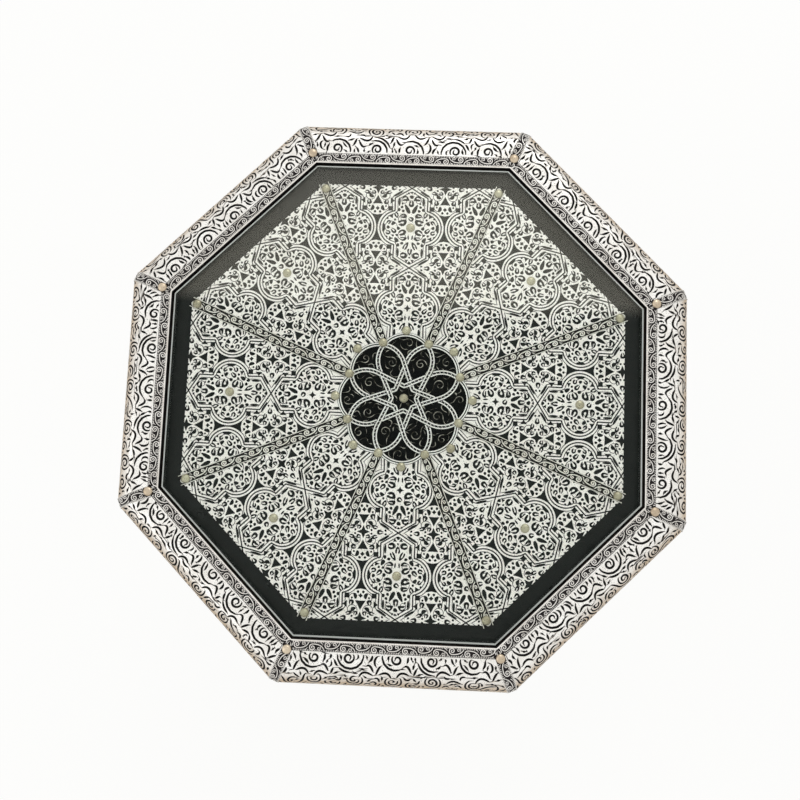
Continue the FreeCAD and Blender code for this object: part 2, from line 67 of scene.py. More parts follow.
# Sizes read from the frame, in millimetres.
OPENING = low("frame_rail_1")[0]
RAIL_FACE = high("frame_rail_1")[0]
RAIL_TOP = high("frame_rail_1")[2]
RAIL_FOOT = low("frame_rail_1")[2]
COVER = high("rail_covers")[0] - RAIL_FACE
TOP = high("border_strips")[2]
STRIP = TOP - high("rail_covers")[2]
BOARD_TOP = high("top_board")[2]
PANEL_TOP = high("wedge_panel_1")[2]
FIELD = high("wedge_panel_1")[0]
STRIP_TOP = high("radial_strips")[2]
INLAY_TOP = high("rosette_inlay")[2]
STRAP_TOP = high("rosette_lattice")[2]
LOBE_REACH = high("rosette_inlay")[0]
PANE_FOOT, PANE_TOP = low("glass_pane")[2], high("glass_pane")[2]
PANE = high("glass_pane")[0]
BASE = high("side_board_1")[0]
BASE_INNER = low("side_board_1")[0]
BASE_TOP = high("side_board_1")[2]

# Sizes that the frame doesn't give by itself.
STRIP_WIDTH = 9.3
CORNER_WIDTH = 9.3
COVER_RETURN = 3
FOLD = 6.6
LOBE_DEPTH = 5.8
NAIL_RADIUS, NAIL_HEIGHT = 4, 2.6
MEDALLION = FIELD - 39
END_NAIL = FIELD / COS - 5
LOBE_NAIL = LOBE_REACH + 1.7
ROUND = (RAIL_TOP - RAIL_FOOT) / 2
RAIL_MIDDLE = RAIL_TOP - ROUND
CUSP = LOBE_REACH - LOBE_DEPTH
LOBE_CENTRE = (LOBE_REACH**2 - CUSP**2) / 2 / (LOBE_REACH - CUSP * COS)
LOBE_RADIUS = LOBE_REACH - LOBE_CENTRE
CORNER_FACE = RAIL_FACE / COS - CORNER_WIDTH / 2 * TAN
FRAME_NAIL = CORNER_FACE - 31.5


# Strokes: a centre line, half its width at each point, how far it rises (or sinks), and its flank, which
# takes at most this share of that half.
WIDEST_FLANK = 0.8


class Stroke:
    def __init__(self, spots, half, rise, flank):
        self.spots = np.array(spots, float)
        self.half = np.broadcast_to(np.asarray(half, float), len(self.spots)).copy()
        self.rise, self.flank = rise, flank

    def moved(self, move):
        """The same stroke with its line passed through a function of points."""
        return Stroke(move(self.spots), self.half, self.rise, self.flank)

    def rows(self):
        """Lines along the stroke's feet and its top edges, which the surface has to follow."""
        side = left_of(self.spots)
        top = self.half - np.minimum(self.flank, WIDEST_FLANK * self.half)
        return [self.spots + side * reach[:, None] for reach in (-self.half, -top, top, self.half)]


def engraved(spots, width, depth=0.35, tip=0.45):
    """A groove that narrows at both ends."""
    return Stroke(spots, tapered(len(spots), width, tip), -depth, 0.15)


def raised(spots, width, tip=0.6):
    """A flat-topped rib that narrows at both ends."""
    return Stroke(spots, tapered(len(spots), width, tip), 0.35, 0.2)


def rib(spots, width, rise=0.3, flank=0.1):
    """A flat-topped rib of even width."""
    return Stroke(spots, width / 2, rise, flank)


def unit(angle):
    return np.array([math.cos(angle), math.sin(angle)])


def left(way):
    return np.array([-way[1], way[0]])


def left_of(line):
    """Unit vectors to the left of a line, at each of its points."""
    way = np.gradient(line, axis=0)
    way /= np.maximum(np.linalg.norm(way, axis=1), 1e-9)[:, None]
    return np.stack([-way[:, 1], way[:, 0]], axis=1)


def run_length(line):
    """How far each point lies along a line."""
    return np.concatenate([[0], np.cumsum(np.linalg.norm(np.diff(line, axis=0), axis=1))])


def looped(line):
    """A loop with its first point again at its end."""
    return np.vstack([line, line[:1]])


def gaps(spots, others):
    """Each spot's distance to the nearest of the others, worked out in blocks that fit in memory."""
    blocks = np.array_split(spots, 1 + len(spots) // 500)
    return np.concatenate([np.linalg.norm(block[:, None] - others[None], axis=2).min(1) for block in blocks])


def grid_of(across, out):
    return np.stack(np.meshgrid(across, out, indexing="ij"), axis=-1)


def runs(line, keep, least):
    """The stretches of a line where keep holds, if they have more than least points."""
    keep = np.asarray(keep, bool)
    cuts = np.flatnonzero(keep[1:] != keep[:-1]) + 1
    found = zip(np.split(line, cuts), np.split(keep, cuts))
    return [run for run, good in found if good.all() and len(run) > least]


def tapered(count, width, tip):
    """Half widths along a stroke: tip is the share of the width that is left at its ends."""
    share = np.sin(np.linspace(0, math.pi, count)) ** 0.5
    return width / 2 * (tip + (1 - tip) * share)


def bezier(start, first, last, end, count):
    t = np.linspace(0, 1, count)[:, None]
    start, first, last, end = (np.array(p, float) for p in (start, first, last, end))
    return ((1 - t)**3 * start + 3 * t * (1 - t)**2 * first + 3 * t**2 * (1 - t) * last + t**3 * end)


def spiral(centre, outer, inner, begin, turns, hand=-1, count=None):
    """A spiral wound from its outer end, which lies at the angle begin, in degrees."""
    count = count or max(8, int(abs(turns) * 16))
    t = np.linspace(0, 1, count)
    angle = math.radians(begin) + hand * turns * math.tau * t
    radius = outer + (inner - outer) * t
    return np.stack([centre[0] + radius * np.cos(angle), centre[1] + radius * np.sin(angle)], axis=1)


def resampled(spots, step):
    """The same line with even steps."""
    spots = np.array(spots, float)
    place = run_length(spots)
    want = np.linspace(0, place[-1], max(2, int(round(place[-1] / step)) + 1))
    return np.stack([np.interp(want, place, spots[:, 0]), np.interp(want, place, spots[:, 1])], axis=1)


# Surfaces from strokes.
def inside(points, loop):
    """Which points lie inside a closed loop."""
    loop = np.asarray(loop, float)
    x, y = points[:, 0], points[:, 1]
    hit = np.zeros(len(points), bool)
    for (x0, y0), (x1, y1) in zip(loop, np.roll(loop, -1, axis=0)):
        if y0 == y1:
            continue
        hit ^= ((y0 > y) != (y1 > y)) & (x < (x1 - x0) * (y - y0) / (y1 - y0) + x0)
    return hit


def boxed(points, spots, reach=0.0):
    """Which points lie in the box round some spots, made larger by reach."""
    near = (points >= spots.min(0) - reach) & (points <= spots.max(0) + reach)
    return np.all(near, axis=1).nonzero()[0]


def inside_any(points, loops):
    hit = np.zeros(len(points), bool)
    for loop in loops:
        near = boxed(points, loop)
        hit[near] |= inside(points[near], loop)
    return hit


def add_line(points, edges, line, ends_meet=False):
    """Adds a line's points to a list of points, and the edges along it to a list of edges."""
    first, count = len(points), len(line)
    points += [Vector(spot) for spot in line]
    edges += [(first + i, first + i + 1) for i in range(count - 1)]
    if ends_meet:
        edges.append((first + count - 1, first))


def triangles_of(points, edges):
    found = delaunay_2d_cdt(points, edges, [], 0, 1e-4, False)
    return np.array([tuple(v) for v in found[0]]), np.array([tuple(f) for f in found[2] if len(f) == 3])


def triangulate(loops, lines):
    """Points and triangles of the plane that follow every closed loop and open line."""
    points, edges = [], []
    for loop in loops:
        add_line(points, edges, loop, ends_meet=True)
    for line in lines:
        add_line(points, edges, line)
    return triangles_of(points, edges)


def levels(points, strokes, base_tone):
    """Height and tone of each point: the deepest groove and the highest rib that reach it."""
    up, down, bright, dark = np.zeros((4, len(points)))
    for stroke in strokes:
        near = boxed(points, stroke.spots, stroke.half.max())
        start, way = stroke.spots[:-1], np.diff(stroke.spots, axis=0)
        length = np.maximum((way**2).sum(1), 1e-12)
        offset = points[near][:, None] - start[None]
        share = np.clip((offset * way[None]).sum(2) / length, 0, 1)
        gap = np.linalg.norm(offset - share[..., None] * way[None], axis=2)
        half = stroke.half[:-1] + share * np.diff(stroke.half)
        flank = np.minimum(stroke.flank, WIDEST_FLANK * half)
        value = np.clip((half - gap) / flank + 1e-4, 0, 1).max(1)
        height, tone = (down, dark) if stroke.rise < 0 else (up, bright)
        height[near] = np.maximum(height[near], abs(stroke.rise) * value)
        tone[near] = np.maximum(tone[near], value)
    return up - down, np.clip(base_tone + bright - dark, 0, 1)


def relief(outline, strokes, place, thick, holes=(), lines=(), base_tone=1.0):
    """A closed sheet: its face follows the strokes, and its back is plain.

    place takes two plane coordinates and a height, and gives points in space. The result is the points, the
    faces and the tone of each point, from 0 in a recess to 1 on the polished face.
    """
    holes = [np.asarray(hole, float) for hole in holes]
    rows = [row for stroke in strokes for row in stroke.rows()]
    points, triangles = triangulate([outline, *holes], [*rows, *lines])
    points, triangles = kept(points, triangles, outline, holes)
    height, tone = levels(points, strokes, base_tone)
    face = place(points[:, 0], points[:, 1], height)

    rim = boundary(triangles)
    back_points, back_triangles = back_of(points, rim, outline, holes, lines)
    back = place(back_points[:, 0], back_points[:, 1], np.full(len(back_points), -thick))
    where = {tuple(spot): len(points) + i for i, spot in enumerate(np.round(back_points, 3))}
    faces = [tuple(t) for t in triangles] + [tuple(t[::-1] + len(points)) for t in back_triangles]
    for a, b in rim:
        under = [where.get(tuple(np.round(points[i], 3))) for i in (a, b)]
        if None not in under:
            faces.append((b, a, *under))
    return np.vstack([face, back]), faces, np.concatenate([tone, np.full(len(back), min(base_tone, 0.5))])


def compact(points, triangles):
    """Only the points that the triangles use."""
    used, flat = np.unique(triangles, return_inverse=True)
    return points[used], flat.reshape(-1, 3)


def kept(points, triangles, outline, holes):
    """Only the triangles inside the outline and outside the holes, all turned the same way."""
    middles = points[triangles].mean(1)
    points, triangles = compact(points, triangles[inside(middles, outline) & ~inside_any(middles, holes)])
    corner = points[triangles]
    first, second = corner[:, 1] - corner[:, 0], corner[:, 2] - corner[:, 0]
    area = first[:, 0] * second[:, 1] - first[:, 1] * second[:, 0]
    triangles[area < 0] = triangles[area < 0][:, ::-1]
    return points, triangles[np.abs(area) > 1e-7]


def boundary(triangles):
    """Edges that only one triangle has, in that triangle's direction."""
    sides = np.vstack([triangles[:, pair] for pair in ([0, 1], [1, 2], [2, 0])])
    seen = dict.fromkeys(map(tuple, sides.tolist()))
    return [(a, b) for a, b in seen if (b, a) not in seen]


def back_of(points, rim, outline, holes, lines):
    """A plain triangulation with the same rim."""
    used = sorted({i for edge in rim for i in edge})
    order = {old: new for new, old in enumerate(used)}
    spots = [Vector(points[i]) for i in used]
    edges = [(order[a], order[b]) for a, b in rim]
    for line in lines:
        add_line(spots, edges, line)
    return kept(*triangles_of(spots, edges), outline, holes)


def flat_at(level):
    """Lays a pattern level, with its first coordinate along X."""
    return lambda x, y, h: np.stack([x, y, level + h], axis=1)


def turned(spots, angle):
    """Points turned about the middle, in the plane or in space."""
    c, s = math.cos(angle), math.sin(angle)
    turn = np.eye(spots.shape[1])
    turn[:2, :2] = (c, s), (-s, c)
    return spots @ turn


def all_round(part, start=0.0):
    """Eight turned copies of a part as one set of points, faces and tones."""
    spots, faces, tones = part
    return joined(*[(turned(spots, start + side * TURN), faces, tones) for side in range(SIDES)])


def flipped(part, scale=(1, 1, 1)):
    """A part with its faces turned over, for a mirror image or a pattern laid from behind."""
    spots, faces, tones = part
    return spots * scale, [face[::-1] for face in faces], tones


def joined(*parts):
    spots, faces, tones, first = [], [], [], 0
    for part_spots, part_faces, part_tones in parts:
        spots.append(part_spots)
        faces += [tuple(i + first for i in face) for face in part_faces]
        tones.append(part_tones)
        first += len(part_spots)
    return np.vstack(spots), faces, np.concatenate(tones)


def new_piece(name, part, material, body="table", replaces=(), smooth=True):
    """A mesh piece from points in millimetres, on a body and with one material slot."""
    spots, faces, tones = part
    mesh = bpy.data.meshes.new(name)
    mesh.from_pydata((spots * MM).tolist(), [], faces)
    mesh.attributes.new("relief", "FLOAT", "POINT").data.foreach_set("value", tones.astype(np.float32))
    mesh.materials.append(material)
    mesh.update()
    piece = bpy.data.objects.new(name, mesh)
    bpy.context.scene.collection.objects.link(piece)
    if smooth:
        mesh.shade_smooth()
        mesh.set_sharp_from_angle(angle=math.radians(32))
    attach(piece, body)
    if replaces:
        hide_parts(*replaces)
    return piece


def piece_on(side, name, part, material, replaces=()):
    """A part turned to its side of the table, with that side's number in its name."""
    spots, faces, tones = part
    part = turned(spots, side * TURN), faces, tones
    new_piece(f"{name}_{side + 1}", part, material, replaces=replaces)


# Materials.
def set_inputs(tree, target, inputs):
    """Links each value that is a socket to a node's input, and sets each plain one there."""
    for name, value in inputs.items():
        if isinstance(value, bpy.types.NodeSocket):
            tree.links.new(value, target.inputs[name])
        else:
            target.inputs[name].default_value = value


def new_material(name, values):
    """A material whose uniform values are set on the shader's own sockets."""
    made = bpy.data.materials.new(name)
    made.use_nodes = True
    shader = made.node_tree.nodes["Principled BSDF"]
    set_inputs(made.node_tree, shader, values)
    return made, made.node_tree, shader


def node(tree, kind, inputs=None, **settings):
    made = tree.nodes.new(kind)
    for setting, value in settings.items():
        setattr(made, setting, value)
    set_inputs(tree, made, inputs or {})
    return made


def colour(red, green, blue):
    """Linear colour of a colour as it looks on screen, 0 to 255."""
    return tuple((c / 255) ** 2.2 for c in (red, green, blue)) + (1.0,)


def place_node(tree, stretch=(1, 1, 1)):
    """Places on the object, in metres, stretched for grain."""
    where = node(tree, "ShaderNodeTexCoord")
    return node(tree, "ShaderNodeMapping", {"Vector": where.outputs["Object"], "Scale": stretch}).outputs[0]


def noise(tree, where, scale, detail=3.0, rough=0.5):
    inputs = {"Vector": where, "Scale": scale, "Detail": detail, "Roughness": rough}
    return node(tree, "ShaderNodeTexNoise", inputs).outputs["Fac"]


def between(tree, value, low_value, high_value, to_low=0.0, to_high=1.0):
    inputs = {"Value": value, "From Min": low_value, "From Max": high_value,
              "To Min": to_low, "To Max": to_high}
    return node(tree, "ShaderNodeMapRange", inputs).outputs[0]


def mix(tree, share, first, second):
    """Two colours mixed: these are the colour sockets of the mix node."""
    return node(tree, "ShaderNodeMix", {0: share, 6: first, 7: second}, data_type="RGBA").outputs[2]


def worked(tree, operation, first, second):
    return node(tree, "ShaderNodeMath", {0: first, 1: second}, operation=operation).outputs[0]


def times(tree, first, second):
    return worked(tree, "MULTIPLY", first, second)


def mix_surfaces(tree, share, first, second):
    both = node(tree, "ShaderNodeMixShader", {0: share, 1: first.outputs[0], 2: second.outputs[0]})
    tree.links.new(both.outputs[0], tree.nodes["Material Output"].inputs["Surface"])


def bump(tree, height, strength, distance):
    inputs = {"Height": height, "Strength": strength, "Distance": distance}
    return node(tree, "ShaderNodeBump", inputs).outputs[0]


def relief_tone(tree):
    return node(tree, "ShaderNodeAttribute", attribute_name="relief").outputs["Fac"]


def patina_metal(name, bright, dull, recess, tint=None, metallic=0.7):
    """Pale sheet metal, dark in its recesses, whose relief attribute says which is which. With tint, faces
    that turn away from straight up take a painted shade of that warm colour.
    """
    made, tree, shader = new_material(name, {"Metallic": metallic})
    where = place_node(tree)
    clouds = noise(tree, where, 60.0, 4.0, 0.6)
    grain = noise(tree, where, 900.0, 2.0)
    face = mix(tree, between(tree, clouds, 0.35, 0.7), colour(*bright), colour(*dull))
    # Painted shade: faces that turn from straight up, on the rounded sides, are mixed towards the tint
    # colour, broken by clouds.
    if tint:
        normal = node(tree, "ShaderNodeNewGeometry").outputs["Normal"]
        up = node(tree, "ShaderNodeSeparateXYZ", {"Vector": normal}).outputs["Z"]
        painted_side_shade = times(tree, between(tree, up, 0.95, 0.6), between(tree, clouds, 0.2, 0.6, 0.7, 1.0))
        face = mix(tree, painted_side_shade, face, colour(*tint))
    cut = between(tree, relief_tone(tree), 0.4, 0.8)
    polish = between(tree, grain, 0.3, 0.7, 0.24, 0.42)
    rough = node(tree, "ShaderNodeMapRange", {"Value": cut, "To Min": 0.7, "To Max": polish})
    dents = noise(tree, where, 260.0, 3.0)
    set_inputs(tree, shader, {"Base Color": mix(tree, cut, colour(*recess), face),
                              "Roughness": rough.outputs[0], "Normal": bump(tree, dents, 0.5, 0.0004)})
    return made


def painted(name, paint, scratch, rough=(0.25, 0.45), specular=0.5, cut=None):
    """Paint with faint clouds and scratches, and where cut is given, with engraved lines in the scratch
    colour, broken by painted glints of the cut colour: a painted highlight.
    """
    made, tree, shader = new_material(name, {"Specular IOR Level": specular})
    where = place_node(tree)
    clouds = noise(tree, where, 25.0, 5.0, 0.6)
    lines = noise(tree, place_node(tree, (1.0, 14.0, 1.0)), 90.0, 4.0, 0.7)
    scratches = between(tree, lines, 0.62, 0.74)
    face = mix(tree, times(tree, scratches, clouds), colour(*paint), colour(*scratch))
    if cut:
        # Painted highlight: noise breaks the engraved lines into bright glints of the cut colour.
        painted_glints = between(tree, noise(tree, where, 170.0), 0.42, 0.62)
        line = mix(tree, painted_glints, colour(*scratch), colour(*cut))
        face = mix(tree, between(tree, relief_tone(tree), 0.3, 0.7), line, face)
    set_inputs(tree, shader, {"Base Color": face, "Roughness": between(tree, clouds, 0.3, 0.7, *rough),
                              "Normal": bump(tree, noise(tree, where, 40.0), 0.15, 0.0003)})
    return made


def wood(name, light, dark, stretch):
    """Dark stained wood whose grain runs along the stretched axis."""
    made, tree, shader = new_material(name, {"Specular IOR Level": 0.35})
    where = place_node(tree, stretch)
    waves = {"Vector": where, "Scale": 14.0, "Distortion": 7.0, "Detail": 4.0, "Detail Scale": 1.6}
    rings = node(tree, "ShaderNodeTexWave", waves).outputs["Fac"]
    pores = noise(tree, where, 240.0, 4.0, 0.7)
    grain = mix(tree, rings, colour(*light), colour(*dark))
    face = mix(tree, between(tree, pores, 0.5, 0.68, 0.0, 0.8), grain, colour(*dark))
    set_inputs(tree, shader, {"Base Color": face, "Roughness": between(tree, rings, 0, 1, 0.5, 0.68),
                              "Normal": bump(tree, pores, 0.4, 0.0005)})
    return made


def clear_glass(name):
    """Clear glass, a little uneven in tint, that lets shadow rays pass."""
    made, tree, shader = new_material(name, {"Transmission Weight": 1.0, "IOR": 1.5, "Roughness": 0.0})
    tint = mix(tree, noise(tree, place_node(tree), 6.0), colour(253, 254, 252), colour(249, 252, 249))
    tree.links.new(tint, shader.inputs["Base Color"])
    ray = node(tree, "ShaderNodeLightPath").outputs["Is Shadow Ray"]
    through = node(tree, "ShaderNodeBsdfTransparent", {"Color": (0.97, 0.975, 0.965, 1)})
    mix_surfaces(tree, ray, shader, through)
    return made


# The silver's tint is a painted warm shade and reflection on the rails' rounded sides.
SILVER = patina_metal("embossed_sheet", (252, 250, 246), (230, 226, 219), (5, 4, 4), (186, 163, 134), 0.6)
SHEET = patina_metal("base_sheet", (236, 231, 224), (204, 197, 188), (24, 18, 20))
FILIGREE = patina_metal("filigree_sheet", (254, 251, 247), (242, 238, 232), (10, 9, 8), metallic=0.45)
VINE = patina_metal("vine_sheet", (250, 247, 241), (226, 220, 212), (24, 19, 20), metallic=0.45)
OLD_VINE = patina_metal("seam_sheet", (250, 248, 240), (222, 218, 206), (30, 26, 23), metallic=0.45)
STRAP = patina_metal("strap_metal", (252, 252, 249), (240, 239, 232), (14, 13, 12), metallic=0.4)
NAIL = patina_metal("nail_metal", (190, 186, 162), (158, 151, 128), (90, 84, 70))
FRAME_NAIL_METAL = patina_metal("frame_nail_metal", (214, 198, 174), (170, 150, 126), (110, 96, 82))
BOARD = painted("black_board", (21, 24, 22), (66, 66, 60), specular=0.2)
# The inlay's cut colour is a painted highlight: bright glints along its engraved swirls, over lines of the
# scratch colour.
INLAY = painted("black_gloss", (9, 9, 9), (58, 56, 48), (0.2, 0.3), specular=0.03, cut=(205, 203, 190))
WOOD_UPRIGHT = wood("dark_wood_upright", (74, 50, 36), (40, 26, 19), (18, 18, 1.4))
WOOD_ROUND = wood("dark_wood_level", (66, 45, 33), (36, 24, 18), (3, 3, 18))
GLASS = clear_glass("clear_glass")
# The pane's bevel is painted opaque near-white: a painted highlight for the bright line along the glass edge.
PANE_EDGE_HIGHLIGHT = painted("painted_edge_highlight", (232, 238, 232), (252, 253, 251), (0.2, 0.35))


# Vine strips. The first coordinate runs along the strip, and the second across it. Each is a thin sheet with
# a curl at every step and a row of teeth along both edges.
VINE_SHEET = 0.25
CURL, CURL_STEP, CURL_BEGIN = 2.95, 13.2, 262
TOOTH_PITCH, TOOTH_REACH = 1.5, 0.85


def vine(length, width=1.05):
    """A running vine: its stems cross from edge to edge, and each winds into a curl after a small one."""
    count = max(1, round(length / CURL_STEP))
    step = length / count
    centre = (3.0, 1.15)
    start = centre + CURL * unit(math.radians(CURL_BEGIN))
    stem = bezier((-step * 0.53, 3.0), (-5.7, 0.1), (-3.4, start[1]), start, 12)
    parts = [(np.vstack([stem[:-1], spiral(centre, CURL, 0.5, CURL_BEGIN, 1.45, 1)]), width, 0.75),
             (spiral((-2.6, 1.75), 1.75, 0.45, 235, 1.15), 0.8 * width, 0.75),
             (bezier((-5.7, -1.6), (-5.2, -2.6), (-4.4, -3.1), (-3.2, -3.2), 5), 0.9, 0.3)]
    strokes = []
    for index in range(count):
        side = 1 if index % 2 else -1
        middle = [step * (index + 0.5) - length / 2, 0]
        strokes += [raised(spots * [1, side] + middle, wide, tip) for spots, wide, tip in parts]
    return strokes


def rope(length, across, line=0.5):
    """One serrated edge: a bright line of a given width, or none, with teeth on its inner side."""
    side = math.copysign(1, across)
    count = int(length / TOOTH_PITCH)
    strokes = [rib([(-length / 2, across), (length / 2, across)], line)] if line else []
    for index in range(count):
        x = (index + 0.5) * length / count - length / 2
        strokes.append(rib([(x - 0.15, across), (x + 0.15, across - side * TOOTH_REACH)], 0.6))
    return strokes


def strip_strokes(length, edge=STRIP_WIDTH / 2 - 0.3, far_line=0.5):
    return vine(length) + rope(length, edge, far_line) + rope(length, -edge)


def rectangle(x0, x1, y0, y1):
    return np.array([(x0, y0), (x1, y0), (x1, y1), (x0, y1)], float)


def make_radial_strips():
    """Strips over the seams between the panels, with the vine drawn in a little between two plain lines."""
    start, end = CUSP + 2.2, FIELD / COS + 0.6
    half, wide = (end - start) / 2, STRIP_WIDTH / 2
    strokes = [stroke.moved(lambda spots: spots * [1, 0.84]) for stroke in vine(2 * half, 1.3)]
    strokes += [rib([(-half, edge), (half, edge)], 0.75) for edge in (-wide + 0.45, wide - 0.45)]
    lay = flat_at(PANEL_TOP + VINE_SHEET)
    middle = (start + end) / 2
    part = relief(rectangle(-half, half, -wide, wide), strokes, lambda x, y, h: lay(x + middle, y, h),
                  VINE_SHEET, base_tone=0.0)
    new_piece("radial_vines", all_round(part, HALF), OLD_VINE, replaces=["radial_strips"])


def make_border_strips():
    """Strips along the frame's inner edge, folded down at the opening, with three leaves at each end."""
    inner = OPENING - STRIP
    half, wide = inner * TAN, (inner + STRIP_WIDTH) * TAN

    def place(x, y, h):
        """x along the side, y outwards from the folded edge: below zero it hangs down inside."""
        out = np.where(y < 0, inner - h, inner + y)
        up = np.where(y < 0, TOP + y, TOP - VINE_SHEET + h)
        return np.stack([out, -x, up], axis=1)

    right = np.array([(half, -FOLD), (half, 0), (wide, STRIP_WIDTH)])
    outline = np.vstack([[(-half, -FOLD)], right, mirrored(right)[:2]])
    strokes = [stroke.moved(lambda spots: spots + [0, STRIP_WIDTH / 2 + 0.35])
               for stroke in strip_strokes(2 * half - 3, STRIP_WIDTH / 2 - 0.7, 0)]
    strokes.append(Stroke([(-wide, 0.2), (wide, 0.2)], 0.85, 0.0001, 0.1))
    for side in (-1, 1):
        for x, foot, head in ((-1.6, 1.8, 5.6), (0.4, 3.0, 7.4), (2.0, 5.8, 8.6)):
            leaf = bezier((x, foot), (x - 0.9, foot + 1.2), (x + 1.0, head - 1.2), (x + 0.9, head), 7)
            strokes.append(raised((leaf + [half, 0]) * [side, 1], 0.95))
    fold = np.array([(-half, 0), (half, 0)])
    part = relief(outline, strokes, place, VINE_SHEET, lines=[fold], base_tone=0.0)
    new_piece("border_vines", all_round(part), VINE, replaces=["border_strips"])


def round_path(flat_start, flat_length, centre, radius, height):
    """Lays a pattern over the frame's edge: level, then round the bullnose, then back under it."""
    arc = math.pi * radius

    def place(x, y, h):
        """x along the side and y outwards, then round."""
        angle = np.clip((y - flat_length) / radius, 0, math.pi)
        under = np.maximum(y - flat_length - arc, 0)
        out = np.where(y < flat_length, flat_start + y, centre + (radius + h) * np.sin(angle) - under)
        up = height + np.where(y < flat_length, radius + h, (radius + h) * np.cos(angle))
        return np.stack([out, -x, up], axis=1)

    return place


def make_mitre_strips():
    """Strips over the frame's mitres, bent round its blunt corners."""
    centre, wide = CORNER_FACE - ROUND, STRIP_WIDTH / 2
    start = (OPENING - STRIP + STRIP_WIDTH + wide * math.sin(HALF)) / COS + 0.2
    radius = ROUND + COVER + STRIP
    flat_length = centre - start
    arc_length = math.pi * radius
    length = flat_length + arc_length
    place = round_path(start, flat_length, centre, radius - VINE_SHEET, RAIL_MIDDLE)
    lines = [np.array([(-wide, y), (wide, y)]) for y in flat_length + arc_length * np.arange(24) / 24]
    strokes = [stroke.moved(lambda spots: np.stack([spots[:, 1], spots[:, 0] + length / 2], axis=1))
               for stroke in strip_strokes(length)]
    part = relief(rectangle(-wide, wide, 0, length), strokes, place, VINE_SHEET, lines=lines, base_tone=0.0)
    new_piece("mitre_vines", all_round(part, HALF), VINE, replaces=["mitre_strips"])


# Engraved sheet. Arches, volutes and fans come first, and curved strokes then fill what is left.
# Strokes keep this distance, have this width, and wind by this much in a scroll, down to its eye.
SPACING, LINE, WOUND, EYE = 2.6, 2.1, 3.2, 0.9
# Once the wide ground is filled, shorter strokes go between, at this share of the distance.
CLOSER = 0.86


